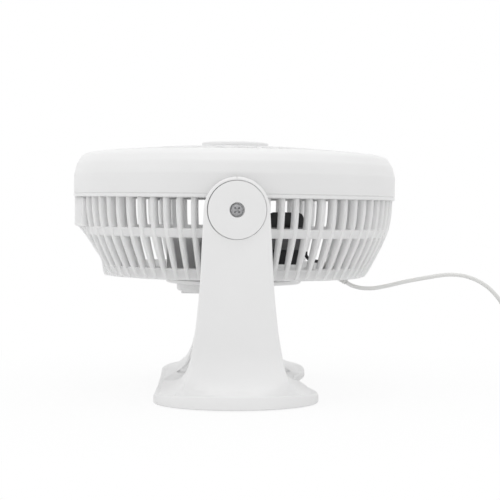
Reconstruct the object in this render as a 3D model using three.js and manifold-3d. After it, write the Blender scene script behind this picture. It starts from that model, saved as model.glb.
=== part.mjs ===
// A small mains table fan. Its round head hangs between the two arms of a low stand and tilts
// on a pair of side pivots. It is drawn with the head facing straight up, as it is carried.
// Millimetres. +Z is up, +X is the way the air blows when the head stands upright, and Y runs
// along the tilt axis. The origin is under the middle of the stand, on the table.
import * as THREE from "three";
import { mergeVertices } from "three/addons/utils/BufferGeometryUtils.js";
import Module from "manifold-3d";

const wasm = await Module();
wasm.setup();

// ---------------------------------------------------------------- driving dimensions
const GAP = 0.3; // between pieces that touch
const WALL = 2.5; // moulded plastic walls

const PIVOT_Z = 134; // height of the tilt axis
const REST_TILT = 0.75; // degrees that the head leans towards +X
const HEAD_R = 119.5; // radius of the head's rim

const ARM_OUTER_Y = 134; // outer face of an arm at the pivot
const ARM_INNER_Y = 122.8; // inner face of an arm at the pivot
const ARM_BOSS_R = 21.9; // round top of an arm
const CRADLE_R = 127.5; // the stand's inner curve, about the tilt axis
const BASE_HALF_Y = 131; // half of the base across the arms
const LOBE_HALF_X = 57.4; // half width of the base under an arm
const LOBE_Y = 82; // where the base's round ends start
const WAIST_FRONT = 45; // the base's edge at the middle, in front
const WAIST_BACK = 56.6; // and behind
const FOOT_LIFT = 0.9; // the rubber feet hold the rim this far off the table
const BASE_TOP = 6.5; // top of the base between the arms
const BASE_END_TOP = 10.5; // top of the base at its far ends

const CAP_R = 19.4; // the cap that shows on the outside of each arm
const CAP_DEPTH = 4.2; // the recess that the cap sits in
const PIN_R = 7.5; // the pin that the head turns on

const RIBS = 72; // ribs round the rear grille
const RIB_TURN = 0.5; // degrees from +X to the first rib
const FRONT_RIBS = 40;
const DUCT_R = 95.3; // inside of the rim, round the blade

const BLADE_R = 88;
const BLADES = 5;

const KNOB_X = -28; // speed knob, off the head's axis
const KNOB_R = 14.4;

const CORD_WIDE = 5.2; // flat twin lead
const CORD_THICK = 3.2;

// ---------------------------------------------------------------- finishes
const finish = (color, roughness, metalness = 0) =>
  new THREE.MeshStandardMaterial({ color, roughness, metalness });
const whitePlastic = finish("#ececec", 0.42);
const greyPlastic = finish("#c4c4c2", 0.5);
const bladePlastic = finish("#dfe3e4", 0.3);
const blackPlastic = finish("#1d1d1f", 0.5);
const rubber = finish("#3a3a3c", 0.85);
const steel = finish("#a8aaad", 0.35, 1);
const laminations = finish("#5b5c5e", 0.45, 0.9);
const bronze = finish("#9a7b4a", 0.45, 1);
const cordPlastic = finish("#ededea", 0.48);

// ---------------------------------------------------------------- helpers
const radians = THREE.MathUtils.degToRad;

// Turns every face round if the closed mesh has its faces pointing inwards.
function facingOut(geometry) {
  const plain = geometry.index ? geometry.toNonIndexed() : geometry;
  const p = plain.getAttribute("position").array;
  let volume = 0;
  for (let i = 0; i < p.length; i += 9) {
    const a = new THREE.Vector3().fromArray(p, i);
    const b = new THREE.Vector3().fromArray(p, i + 3);
    const c = new THREE.Vector3().fromArray(p, i + 6);
    volume += a.dot(b.cross(c));
  }
  const made = new THREE.BufferGeometry();
  const turned = p.slice();
  if (volume < 0)
    for (let i = 0; i < p.length; i += 9) {
      turned.set(p.slice(i + 6, i + 9), i + 3);
      turned.set(p.slice(i + 3, i + 6), i + 6);
    }
  made.setAttribute("position", new THREE.BufferAttribute(turned, 3));
  return made;
}

function solid(geometry) {
  const merged = mergeVertices(facingOut(geometry), 1e-3);
  const index = merged.index.array;
  const kept = [];
  for (let i = 0; i < index.length; i += 3) {
    const [a, b, c] = index.slice(i, i + 3);
    if (a !== b && b !== c && c !== a) kept.push(a, b, c);
  }
  const vertProperties = merged.attributes.position.array;
  const triVerts = new Uint32Array(kept);
  return new wasm.Manifold(new wasm.Mesh({ numProp: 3, vertProperties, triVerts }));
}

const join = (first, ...others) => others.reduce((all, one) => all.add(one), first);
const cut = (body, ...tools) => tools.reduce((left, tool) => left.subtract(tool), body);

function geometryOf(manifold) {
  const mesh = manifold.getMesh();
  const geometry = new THREE.BufferGeometry();
  geometry.setAttribute("position", new THREE.BufferAttribute(mesh.vertProperties, 3));
  geometry.setIndex([...mesh.triVerts]);
  geometry.computeVertexNormals();
  return geometry;
}

// A profile of [radius, height] points, turned about Z.
function turned(profile, segments = 20) {
  const points = profile.map(([r, z]) => new THREE.Vector2(r, z));
  points.push(points[0].clone());
  return solid(new THREE.LatheGeometry(points, segments).rotateX(Math.PI / 2));
}

// A washer or a disc about Z, from z0 to z1.
function ring(inner, outer, z0, z1, segments = 20) {
  return turned([[inner, z0], [outer, z0], [outer, z1], [inner, z1]], segments);
}

const disc = (r, z0, z1, segments = 20) => ring(0, r, z0, z1, segments);

function block(x0, x1, y0, y1, z0, z1) {
  const box = new THREE.BoxGeometry(x1 - x0, y1 - y0, z1 - z0);
  return solid(box.translate((x0 + x1) / 2, (y0 + y1) / 2, (z0 + z1) / 2));
}

const flatShape = (points) =>
  new THREE.Shape(points.map(([a, b]) => new THREE.Vector2(a, b)));

// A flat outline made thick along Z, Y or X. Its two numbers are (x, y), (x, z) or (y, z).
function slab(shape, from, to, curveSegments) {
  const options = { depth: to - from, bevelEnabled: false, curveSegments };
  return new THREE.ExtrudeGeometry(shape, options).translate(0, 0, from);
}
const alongZ = (shape, z0, z1, curveSegments = 5) => solid(slab(shape, z0, z1, curveSegments));
const alongY = (shape, y0, y1, curveSegments = 5) =>
  solid(slab(shape, -y1, -y0, curveSegments).rotateX(Math.PI / 2));
const alongX = (shape, x0, x1, curveSegments = 5) =>
  solid(slab(shape, x0, x1, curveSegments).rotateX(Math.PI / 2).rotateZ(Math.PI / 2));

// A copy of a solid, moved, turned about an axis through the origin, or mirrored.
const moved = (body, x, y, z) => solid(geometryOf(body).translate(x, y, z));
const turnedX = (body, degrees) => solid(geometryOf(body).rotateX(radians(degrees)));
const turnedZ = (body, degrees) => solid(geometryOf(body).rotateZ(radians(degrees)));
const mirroredY = (body) => solid(geometryOf(body).scale(1, -1, 1));

// A solid made about Z, laid along Y so that its +Z end points to +Y or, for side -1, to -Y.
const layAlongY = (body, side) => turnedX(body, -90 * side);

function roundedRectangle(width, height, corner) {
  const [x, y] = [width / 2, height / 2];
  const shape = new THREE.Shape();
  shape.absarc(x - corner, y - corner, corner, 0, Math.PI / 2);
  shape.absarc(-x + corner, y - corner, corner, Math.PI / 2, Math.PI);
  shape.absarc(-x + corner, -y + corner, corner, Math.PI, 1.5 * Math.PI);
  shape.absarc(x - corner, -y + corner, corner, 1.5 * Math.PI, 2 * Math.PI);
  return shape;
}

function piece(group, name, body, material) {
  const geometry = body.isBufferGeometry ? body : geometryOf(body);
  const mesh = new THREE.Mesh(geometry, material);
  mesh.name = name;
  group.add(mesh);
  return mesh;
}

// A turned shell with openings. Each row holds its outer and inner [radius, height], from the
// rim to the middle. Columns are ribs and slots by turns, and open(row, column) says which
// cells between two rows are holes. lineAngle gives a column line's angle at a row.
function lattice(rows, columns, lineAngle, open) {
  const positions = [];
  rows.forEach(([outer, inner], row) => {
    for (let line = 0; line < columns; line++) {
      const angle = lineAngle(line, row);
      for (const [r, z] of [outer, inner])
        positions.push(r * Math.cos(angle), r * Math.sin(angle), z);
    }
  });
  const at = (row, line, side) => (row * columns + (line % columns)) * 2 + side;
  const index = [];
  const quad = (a, b, c, d) => index.push(a, b, c, a, c, d);
  const filled = (row, column) =>
    row >= 0 && row < rows.length - 1 && !open(row, (column + columns) % columns);
  for (let row = 0; row < rows.length - 1; row++)
    for (let column = 0; column < columns; column++) {
      if (!filled(row, column)) continue;
      const corners = [[row, column], [row, column + 1], [row + 1, column + 1], [row + 1, column]];
      const [a, b, c, d] = corners.map(([r, l]) => at(r, l, 0));
      const [e, f, g, h] = corners.map(([r, l]) => at(r, l, 1));
      quad(a, d, c, b);
      quad(e, f, g, h);
      if (!filled(row, column - 1)) quad(d, a, e, h);
      if (!filled(row, column + 1)) quad(b, c, g, f);
      if (!filled(row - 1, column)) quad(a, b, f, e);
      if (!filled(row + 1, column)) quad(c, d, h, g);
    }
  const geometry = new THREE.BufferGeometry();
  geometry.setAttribute("position", new THREE.Float32BufferAttribute(positions, 3));
  geometry.setIndex(index);
  return solid(geometry);
}

// The second line of a wall whose first is a row of points, a wall's thickness to its left.
function beside(points, thickness) {
  return points.map(([x, z], i) => {
    const [x0, z0] = points[Math.max(i - 1, 0)];
    const [x1, z1] = points[Math.min(i + 1, points.length - 1)];
    const length = Math.hypot(x1 - x0, z1 - z0);
    return [x + (thickness * (z1 - z0)) / length, z - (thickness * (x1 - x0)) / length];
  });
}

// A straight screw about Z, its head's flat underside at z = 0 and its tip at z = length.
function screw(headR, headHeight, shankR, length, segments = 6) {
  return turned(
    [[0, -headHeight], [headR, -headHeight], [headR, 0], [shankR, 0], [shankR, length], [0, length]],
    segments
  );
}

const roundCopies = (body, angles) => join(...angles.map((angle) => turnedZ(body, angle)));

// ---------------------------------------------------------------- stand
// Half widths of an arm seen from its outside, [half width, height], from the base upwards.
const ARM_FLARE = [
  [53.4, 6.4], [44.4, 9.6], [38.4, 14], [34, 22], [30.3, 38], [25.5, 74], [24.2, 92],
  [ARM_BOSS_R, PIVOT_Z],
];
// An arm's outer face seen along X, [distance from the middle, height].
const ARM_LEAN = [
  [130.5, 10], [126, 12.4], [121.5, 19], [118, 35], [ARM_OUTER_Y, PIVOT_Z],
];
const ARM_TOP = PIVOT_Z + ARM_BOSS_R;
const COVER_BOTTOM = 9.4; // lower edge of the covers inside the arms
const ROOT_TOP = 24; // below this the arms keep to the base's outline

// The arms and the saddle between them, each wall moved inwards by inset.
function yokeSolid(inset, floor) {
  const widths = ARM_FLARE.map(([x, z]) => [x - inset, z - (z < BASE_TOP ? inset : 0)]);
  const front = new THREE.Shape();
  front.moveTo(-widths[0][0], floor);
  for (const [x, z] of widths) front.lineTo(-x, z);
  front.absarc(0, PIVOT_Z, ARM_BOSS_R - inset, Math.PI, 0, true);
  for (const [x, z] of [...widths].reverse()) front.lineTo(x, z);
  front.lineTo(widths[0][0], floor);

  const innerR = CRADLE_R + inset;
  const innerY = ARM_INNER_Y + inset;
  const side = new THREE.Shape();
  const lean = ARM_LEAN.map(([y, z]) => [y - inset, z]);
  side.moveTo(lean[0][0], floor);
  for (const [y, z] of lean) side.lineTo(y, z);
  side.lineTo(ARM_OUTER_Y - inset, ARM_TOP - inset);
  side.lineTo(innerY, ARM_TOP - inset);
  const start = -Math.acos(innerY / innerR);
  side.absarc(0, PIVOT_Z, innerR, start, -Math.PI - start, true);
  side.lineTo(-innerY, ARM_TOP - inset);
  side.lineTo(-ARM_OUTER_Y + inset, ARM_TOP - inset);
  for (const [y, z] of [...lean].reverse()) side.lineTo(-y, z);
  side.lineTo(-lean[0][0], floor);
  const arms = alongY(front, -150, 150, 6).intersect(alongX(side, -70, 70, 8));
  const root = alongZ(baseOutline(inset), floor, ROOT_TOP, 6);
  return arms.intersect(join(root, block(-60, 60, -150, 150, ROOT_TOP - 0.1, 170)));
}

// The base seen from above: two round lobes, nearly straight behind and waisted in front.
function baseOutline(inset) {
  const lobe = LOBE_HALF_X - inset;
  const end = BASE_HALF_Y - LOBE_Y - inset;
  const shape = new THREE.Shape();
  shape.moveTo(lobe, -LOBE_Y);
  const front = WAIST_FRONT - inset;
  shape.bezierCurveTo(lobe, -LOBE_Y / 2, front, -LOBE_Y / 2, front, 0);
  shape.bezierCurveTo(front, LOBE_Y / 2, lobe, LOBE_Y / 2, lobe, LOBE_Y);
  shape.absellipse(0, LOBE_Y, lobe, end, 0, Math.PI);
  shape.quadraticCurveTo(-2 * (WAIST_BACK - inset) + lobe, 0, -lobe, -LOBE_Y);
  shape.absellipse(0, -LOBE_Y, lobe, end, Math.PI, 2 * Math.PI);
  return shape;
}

// The base under the arms: its top climbs a little towards the two ends.
function baseSolid(inset, floor) {
  const [middle, end] = [BASE_TOP - inset, BASE_END_TOP - inset];
  const side = flatShape([
    [-BASE_HALF_Y, floor], [BASE_HALF_Y, floor], [BASE_HALF_Y, end], [LOBE_Y, middle],
    [-LOBE_Y, middle], [-BASE_HALF_Y, end],
  ]);
  return alongZ(baseOutline(inset), floor, BASE_END_TOP, 6).intersect(alongX(side, -70, 70));
}

// The space that an arm's inner cover closes, grown all round by play.
function coverSolid(side, play) {
  const widths = ARM_FLARE.filter(([, z]) => z > COVER_BOTTOM);
  const coverTop = PIVOT_Z - ARM_BOSS_R - 4;
  const edge = widths.filter(([, z]) => z < coverTop).map(([x, z]) => [x - WALL - GAP + play, z]);
  const top = [edge[edge.length - 1][0] - 0.3, coverTop + play];
  const bottom = [edge[0][0] + 0.5, COVER_BOTTOM - play];
  const outline = [bottom, ...edge, top];
  const mirrored = [...outline].reverse().map(([x, z]) => [-x, z]);
  const front = flatShape([...outline, ...mirrored]);

  const [inner, outer] = [CRADLE_R - play, CRADLE_R + 2.2 + play];
  const wallY = ARM_INNER_Y - play;
  const profile = new THREE.Shape();
  profile.moveTo(wallY, PIVOT_Z);
  profile.lineTo(wallY + 2.2 + 2 * play, PIVOT_Z);
  const outerStart = -Math.acos((wallY + 2.2 + 2 * play) / outer);
  profile.absarc(0, PIVOT_Z, outer, outerStart, -Math.PI / 2, true);
  profile.absarc(0, PIVOT_Z, inner, -Math.PI / 2, -Math.acos(wallY / inner), false);
  const reach = side > 0 ? [5, 150] : [-150, -5];
  const panel = alongX(profile, -60, 60, 8);
  const placed = side > 0 ? panel : mirroredY(panel);
  return placed.intersect(alongY(front, ...reach));
}

const BASE_SCREWS = [[34, 104], [-34, 104], [34, -104], [-34, -104]];
const FEET = {
  rear_left: [-40, -80],
  rear_right: [-40, 80],
  front_left: [40, -80],
  front_right: [40, 80],
};
const BASE_PLATE_Z = FOOT_LIFT + GAP;
const BASE_PLATE_THICK = 2;
const BOSS_REACH = 40; // the screw bosses end where they meet the roots of the arms

function standShell() {
  const outside = join(baseSolid(0, FOOT_LIFT), yokeSolid(0, FOOT_LIFT));
  const inside = join(baseSolid(WALL, -1), yokeSolid(WALL, -1));
  let shell = cut(outside, inside, coverSolid(1, GAP), coverSolid(-1, GAP));
  const bossBottom = BASE_PLATE_Z + BASE_PLATE_THICK + GAP;
  for (const [x, y] of BASE_SCREWS)
    shell = join(shell, moved(ring(1.7, 4, bossBottom, BOSS_REACH, 6), x, y, 0).intersect(outside));
  for (const side of [1, -1]) {
    const bossEnd = disc(ARM_BOSS_R - 0.5, ARM_INNER_Y, ARM_OUTER_Y - 2, 16);
    const hole = disc(PIN_R + GAP, 100, 150, 16);
    const recess = disc(CAP_R + GAP, ARM_OUTER_Y - CAP_DEPTH, 150, 24);
    const placed = [bossEnd, hole, recess].map((body) =>
      moved(layAlongY(body, side), 0, 0, PIVOT_Z)
    );
    shell = cut(join(shell, placed[0]), placed[1], placed[2]);
  }
  return shell;
}

function basePlate() {
  const top = BASE_PLATE_Z + BASE_PLATE_THICK;
  const plate = alongZ(baseOutline(WALL + GAP), BASE_PLATE_Z, top, 6);
  const holes = BASE_SCREWS.map(([x, y]) => moved(disc(3.4, 0, 9, 8), x, y, 0));
  return cut(plate, ...holes);
}

function standGroup() {
  const stand = new THREE.Group();
  piece(stand, "stand_shell", standShell(), whitePlastic);
  piece(stand, "arm_cover_near", coverSolid(-1, 0), whitePlastic);
  piece(stand, "arm_cover_far", coverSolid(1, 0), whitePlastic);
  piece(stand, "base_plate", basePlate(), greyPlastic);
  const footProfile = [[0, 0], [7.5, 0], [8, FOOT_LIFT], [0, FOOT_LIFT]];
  for (const [name, [x, y]] of Object.entries(FEET))
    piece(stand, "foot_" + name, turned(footProfile, 10), rubber).position.set(x, y, 0);
  BASE_SCREWS.forEach(([x, y], i) =>
    piece(stand, "base_screw_" + (i + 1), screw(2.9, 1.4, 1.3, 3), steel).position.set(x, y, 2.8)
  );
  for (const [name, side] of [["near", -1], ["far", 1]]) {
    const washer = ring(PIN_R + GAP, 15, ARM_INNER_Y - GAP - 1, ARM_INNER_Y - GAP, 14);
    piece(stand, "friction_washer_" + name, layAlongY(washer, side), blackPlastic)
      .position.set(0, 0, PIVOT_Z);
  }
  return stand;
}

// ---------------------------------------------------------------- head: shells and grilles
// From here on heights are measured from the tilt axis, along the head's own axis.
const LIP_TOP = 11.3; // the front ring ends in a lip that hides the rear grille's hoop
const LIP_BOTTOM = 8.3;
const REAR_FLAT = -51.8; // outside of the rear face at its middle

// Outside of the rear grille, from the rim that the front ring hides to the rear face.
const REAR_OUTSIDE = {
  hoop: [116.4, LIP_TOP],
  slotTop: [117.8, 8],
  ringTop: [115.5, -13],
  ringBottom: [113.3, -19.2],
  slotEnd: [102.4, -41.6],
  corner: [97.5, -48.6],
  middle: [8, REAR_FLAT],
};
// Which of the bands between those rows are cut through between the ribs.
const SLOTTED_BANDS = ["slotTop", "ringBottom"];
const REAR_THICK = 3.2;
const RIB_SHARE = 0.3; // of the way from one rib to the next
const RIB_DEEP = 7;
const RIB_END_DEEP = 4.4;
const HOOP_INSIDE = 105.5;

function rearEnvelope() {
  const outside = Object.values(REAR_OUTSIDE);
  return turned([[0, LIP_TOP], ...outside, [0, REAR_FLAT]], RIBS);
}

// The carry grip at the head's top edge: a flat tab over a recess for the fingers.
const GRIP_R = 118.7;
const GRIP_HALF_Y = 45;
const GRIP_BOTTOM = -12.9;
const RECESS_LINE = [
  [-118.5, GRIP_BOTTOM], [-114.4, -14.6], [-105.4, -22.7], [-95.8, -36], [-94.4, -50],
];

function gripSolids() {
  const tab = ring(GRIP_R - 6, GRIP_R, GRIP_BOTTOM, LIP_BOTTOM - GAP, RIBS);
  const [deepest] = RECESS_LINE[RECESS_LINE.length - 1];
  const space = flatShape([...RECESS_LINE, [deepest, -60], [-140, -60], [-140, GRIP_BOTTOM]]);
  const wall = flatShape([...RECESS_LINE, ...beside(RECESS_LINE, -WALL).reverse()]);
  return {
    tab: tab.intersect(block(-130, -60, -GRIP_HALF_Y, GRIP_HALF_Y, -30, 30)),
    space: alongY(space, -60, 60),
    wall: alongY(wall, -56, 56).intersect(rearEnvelope()),
  };
}

// Where the pivot brackets sit in the side of the rear grille.
const BRACKET_HALF_X = 15;
const BRACKET_TOP = 7.6;
const BRACKET_BOTTOM = -12.6;

const LIP_SCREW_R = 109.5;
const LIP_SCREW_ANGLES = [0, 120, 240];
const COVER_SCREW_R = 42;
const COVER_SCREW_ANGLES = [90, 270];

// The lead leaves the rear face near its edge, through a sleeve that leans towards +X.
const SLEEVE_TIP = [84.7, 0, -53.1];
const SLEEVE_LEAN = 128.5; // degrees from +Z towards +X
const SLEEVE_LENGTH = 21;

// An oval cone along the lead's first direction, its wide way across the head.
function sleeveSolid(play) {
  const inner = -SLEEVE_LENGTH - play;
  const profile = [[0, inner], [4.9, inner], [4.6, -7], [3.3, 0], [0, 0]];
  const grown = profile.map(([r, z]) => [r ? r + play : 0, z + (z === 0 ? 4 * play : 0)]);
  const cone = geometryOf(turned(grown, 10)).scale(0.74, 1, 1).rotateY(radians(SLEEVE_LEAN));
  return solid(cone.translate(...SLEEVE_TIP));
}

function rearGrille() {
  const names = Object.keys(REAR_OUTSIDE);
  const outside = Object.values(REAR_OUTSIDE);
  const inside = beside(outside, REAR_THICK);
  inside[0] = [HOOP_INSIDE, LIP_TOP];
  inside[1] = [HOOP_INSIDE, LIP_BOTTOM - GAP];
  inside[2] = [REAR_OUTSIDE.ringTop[0] - RIB_DEEP, REAR_OUTSIDE.ringTop[1] + 0.8];
  inside[3] = [REAR_OUTSIDE.ringBottom[0] - RIB_DEEP, REAR_OUTSIDE.ringBottom[1] + 2];
  inside[4] = beside(outside, RIB_END_DEEP)[4];
  const rows = outside.map((point, i) => [point, inside[i]]);
  const slotEdges = ["slotTop", "ringTop", "ringBottom", "slotEnd"];
  const lineAngle = (line, row) => {
    const rib = Math.floor(line / 2);
    const side = slotEdges.includes(names[row]) ? ((line % 2) - 0.5) * RIB_SHARE : 0;
    return radians(RIB_TURN + ((rib + side) * 360) / RIBS);
  };
  const open = (row, column) => column % 2 === 1 && SLOTTED_BANDS.includes(names[row]);
  const grip = gripSolids();
  let shell = lattice(rows, 2 * RIBS, lineAngle, open);
  shell = join(cut(shell, grip.space), grip.wall, grip.tab);

  const pad = moved(disc(9.5, REAR_FLAT + 1.4, REAR_FLAT + 6, 12), 79, 0, 0);
  shell = cut(join(shell, pad), sleeveSolid(GAP));
  for (const y0 of [-130, 95]) {
    const z0 = BRACKET_BOTTOM - GAP;
    const z1 = BRACKET_TOP + GAP;
    shell = cut(shell, block(-BRACKET_HALF_X - GAP, BRACKET_HALF_X + GAP, y0, y0 + 35, z0, z1));
  }
  const screwSink = disc(3.9, -4, LIP_BOTTOM - GAP, 6);
  const lipHole = moved(join(disc(1.8, 5, 15, 6), screwSink), LIP_SCREW_R, 0, 0);
  const coverHole = moved(disc(1.9, -60, -40, 6), COVER_SCREW_R, 0, 0);
  const spindleHole = moved(disc(SPINDLE_R + 0.6, -60, -40, 10), KNOB_X, 0, 0);
  return cut(
    shell,
    roundCopies(lipHole, LIP_SCREW_ANGLES),
    roundCopies(coverHole, COVER_SCREW_ANGLES),
    spindleHole
  );
}

// The deep rounded rim that the front grille sits in.
const RIM_TOP = 42.1;
const RIM_OUTSIDE = [
  [HEAD_R, LIP_BOTTOM], [HEAD_R, 25], [117.4, 33], [113.4, 39.2], [107.5, 41.3], [97.9, RIM_TOP],
];
const GRILLE_SEAT_Z = 39.1;

function frontRing() {
  const profile = [
    ...RIM_OUTSIDE,
    [97.9, GRILLE_SEAT_Z], [DUCT_R, GRILLE_SEAT_Z], [DUCT_R, 14], [DUCT_R + WALL, 14],
    [DUCT_R + WALL, 36.8], [108.5, 36.8], [116.8, 25], [116.8, LIP_TOP + GAP],
    [118.1, LIP_TOP + GAP], [118.1, LIP_BOTTOM],
  ];
  const boss = moved(ring(1.5, 3.6, LIP_TOP + GAP, 37.6, 6), LIP_SCREW_R, 0, 0);
  return join(turned(profile, 40), roundCopies(boss, LIP_SCREW_ANGLES));
}

// Outside of the front grille, from its rim to the round plate in the middle.
const FRONT_ROWS = [
  [97.6, 42.1], [93.6, 42.6], [60, 45.3], [56.5, 45.5], [28.5, 47.1], [20, 47.3],
];
const FRONT_THICK = 2.6;
const FRONT_RIB_WIDTH = 2.4;
const FRONT_SWIRL = 16; // degrees that a rib turns on its way in

function frontGrille() {
  const rows = FRONT_ROWS.map(([r, z]) => [[r, z], [r, z - FRONT_THICK]]);
  const lineAngle = (line, row) => {
    const [r] = FRONT_ROWS[row];
    const rib = Math.floor(line / 2) * (360 / FRONT_RIBS);
    const swirl = FRONT_SWIRL * (1 - r / FRONT_ROWS[0][0]);
    const plain = row === 0 || row === FRONT_ROWS.length - 1;
    const half = plain ? 0 : (line % 2 ? 0.5 : -0.5) * (FRONT_RIB_WIDTH / r);
    return radians(rib + swirl) + half;
  };
  const open = (row, column) => {
    if (row === 1) return column % 2 === 1;
    return row === 3 && column % 4 !== 0;
  };
  return lattice(rows, 2 * FRONT_RIBS, lineAngle, open);
}

function grillePlate() {
  const profile = [
    [0, 47.6], [24.9, 47.6], [24.9, 49.6], [23.4, 50.8], [0, 50.8],
  ];
  const spigot = disc(19.2, 44.9, 48, 12);
  return join(turned(profile, 20), spigot);
}

function rearCover() {
  const top = REAR_FLAT - GAP;
  const profile = [[0, top], [50.5, top], [50.5, -53.4], [49.4, -54.5], [0, -54.5]];
  const through = moved(disc(1.9, -60, -40, 6), COVER_SCREW_R, 0, 0);
  const sink = moved(disc(3.7, -60, -53.4, 6), COVER_SCREW_R, 0, 0);
  return cut(
    turned(profile, 20),
    roundCopies(join(through, sink), COVER_SCREW_ANGLES),
    moved(disc(SPINDLE_R + 0.6, -60, -40, 10), KNOB_X, 0, 0)
  );
}

// ---------------------------------------------------------------- head: pivots
const FLANGE_OUTER_Y = ARM_INNER_Y - 2 * GAP - 1;

function pivotBracket() {
  const pad = block(-BRACKET_HALF_X, BRACKET_HALF_X, 102, 119, BRACKET_BOTTOM, BRACKET_TOP);
  const trimmed = pad.intersect(disc(117.4, -20, 20, RIBS));
  const pin = disc(PIN_R, 110, ARM_OUTER_Y - CAP_DEPTH, 14);
  const flange = disc(14.5, 119.9, FLANGE_OUTER_Y, 14);
  const bore = disc(2.2, 112, 150, 6);
  return cut(join(trimmed, layAlongY(join(pin, flange), 1)), layAlongY(bore, 1));
}

const CAP_INNER_Y = ARM_OUTER_Y - CAP_DEPTH + GAP;
const CAP_OUTER_Y = ARM_OUTER_Y + 0.9;

function pivotCap() {
  const profile = [
    [2.3, CAP_INNER_Y], [CAP_R, CAP_INNER_Y], [CAP_R, CAP_OUTER_Y - 0.8], [CAP_R - 0.8, CAP_OUTER_Y],
    [4.8, CAP_OUTER_Y], [4.8, CAP_INNER_Y + 1.8], [2.3, CAP_INNER_Y + 1.8],
  ];
  return turned(profile, 18);
}

function pivotScrew() {
  const seat = CAP_INNER_Y + 1.8 + GAP;
  const profile = [
    [0, 114], [1.9, 114], [1.9, seat], [4.3, seat], [4.3, seat + 1], [2.6, seat + 2], [0, seat + 2],
  ];
  const slot = [1, 0].map((turn) =>
    turnedZ(block(-2.4, 2.4, -0.45, 0.45, seat + 0.9, seat + 3), 90 * turn)
  );
  return cut(turned(profile, 10), ...slot);
}

// ---------------------------------------------------------------- head: motor and electrics
const STACK_TOP = -12.3; // the motor's iron core
const STACK_BOTTOM = -28.8;
const CORE_HALF_Y = 22.5;
const YOKE_Y = 16.3; // inner face of the core's two long sides
const LIMB = [34.5, 42.5]; // the part of the core that carries the coil, along X
const BOLT_Y = 18.6;
const BORE_R = 13.3;
const SHAFT_R = 2.4;
const SPINDLE_R = 3;

const boltHole = (y) => moved(disc(2.1, -60, 60, 8), 0, y, 0);

function motorCore() {
  const outline = flatShape([
    [-21.5, -CORE_HALF_Y], [50.5, -CORE_HALF_Y], [50.5, -YOKE_Y], [LIMB[1], -YOKE_Y],
    [LIMB[1], YOKE_Y], [50.5, YOKE_Y], [50.5, CORE_HALF_Y], [-21.5, CORE_HALF_Y],
  ]);
  const window = block(22.5, LIMB[0], -YOKE_Y, YOKE_Y, -40, 0);
  const plate = alongZ(outline, STACK_BOTTOM, STACK_TOP);
  return cut(plate, window, disc(BORE_R, -40, 0, 20), boltHole(BOLT_Y), boltHole(-BOLT_Y));
}

const LIMB_X = (LIMB[0] + LIMB[1]) / 2;
const STACK_MIDDLE = (STACK_TOP + STACK_BOTTOM) / 2;
const limbTube = (grow, y0, y1) => {
  const wide = LIMB[1] - LIMB[0] + 2 * grow;
  const tall = STACK_TOP - STACK_BOTTOM + 2 * grow;
  const outline = roundedRectangle(wide, tall, 0.8);
  return moved(alongY(outline, y0, y1, 1), LIMB_X, 0, STACK_MIDDLE);
};

function motorCoil() {
  const body = alongY(roundedRectangle(24.6, 38, 6), -14.4, 14.4, 3);
  return cut(moved(body, LIMB_X, 0, STACK_MIDDLE), limbTube(1.6, -20, 20));
}

function coilBobbin() {
  const flange = (y0) =>
    moved(alongY(roundedRectangle(25.4, 38.6, 4), y0, y0 + 1.1, 1), LIMB_X, 0, STACK_MIDDLE);
  const whole = join(limbTube(1.3, -15.8, 15.8), flange(-15.8), flange(14.7));
  return cut(whole, limbTube(GAP, -20, 20));
}

// A cast bar across the motor with a round housing for its bearing; up is +1 or -1.
function bearingBar(face, up) {
  const bar = alongZ(roundedRectangle(14, 2 * CORE_HALF_Y - 1, 4), 0, 4, 1);
  const housing = disc(8, 0, 11, 10);
  const whole = cut(join(bar, housing), disc(5.8, -1, 20, 10));
  const drilled = geometryOf(cut(whole, boltHole(BOLT_Y), boltHole(-BOLT_Y)));
  return solid(drilled.scale(1, 1, up).translate(0, 0, face + up * GAP));
}

const bearingBush = (z0, z1) => ring(SHAFT_R + GAP, 5.4, z0, z1, 10);

const POST_TOP = STACK_BOTTOM - 2 * GAP - 4;

// Where a piece inside that reaches r from the middle clears the sloping rear face.
function rearInside(r) {
  const [[flatR], [cornerR, cornerZ]] = [REAR_OUTSIDE.middle, REAR_OUTSIDE.corner];
  const rise = ((cornerZ - REAR_FLAT) * (r - flatR)) / (cornerR - flatR);
  return REAR_FLAT + REAR_THICK + rise + GAP;
}

const motorPost = (side) =>
  moved(ring(2.2, 4.2, rearInside(BOLT_Y + 4.2), POST_TOP, 10), 0, side * BOLT_Y, 0);

function motorBolt(side) {
  const top = STACK_TOP + 2 * GAP + 4;
  return moved(turnedX(screw(3.5, 2.4, 1.8, 38), 180), 0, side * BOLT_Y, top);
}

const POCKET = { x0: -49.6, x1: -22.6, halfY: 19, top: -21 };

function switchPocket() {
  const width = POCKET.x1 - POCKET.x0;
  const bottom = rearInside(Math.hypot(POCKET.x0, POCKET.halfY));
  const outside = alongZ(roundedRectangle(width, 2 * POCKET.halfY, 5), bottom, POCKET.top, 2);
  const inside = roundedRectangle(width - 3.6, 2 * POCKET.halfY - 3.6, 3.4);
  const pocket = cut(outside, alongZ(inside, bottom - 1, POCKET.top - 2, 2));
  return moved(pocket, (POCKET.x0 + POCKET.x1) / 2, 0, 0);
}

function rotarySwitch() {
  const [x0, x1] = [POCKET.x0 + 2.4, POCKET.x1 - 2.2];
  const body = block(x0, x1, -13.5, 13.5, -44.5, -32);
  const terminals = [-9, -3, 3, 9].map((y) => block(x0 + 3, x0 + 3.8, y - 1.6, y + 1.6, -32.5, -25.5));
  const socket = moved(disc(SPINDLE_R + GAP, -60, -36, 12), KNOB_X, 0, 0);
  return cut(join(body, ...terminals), socket);
}

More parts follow.
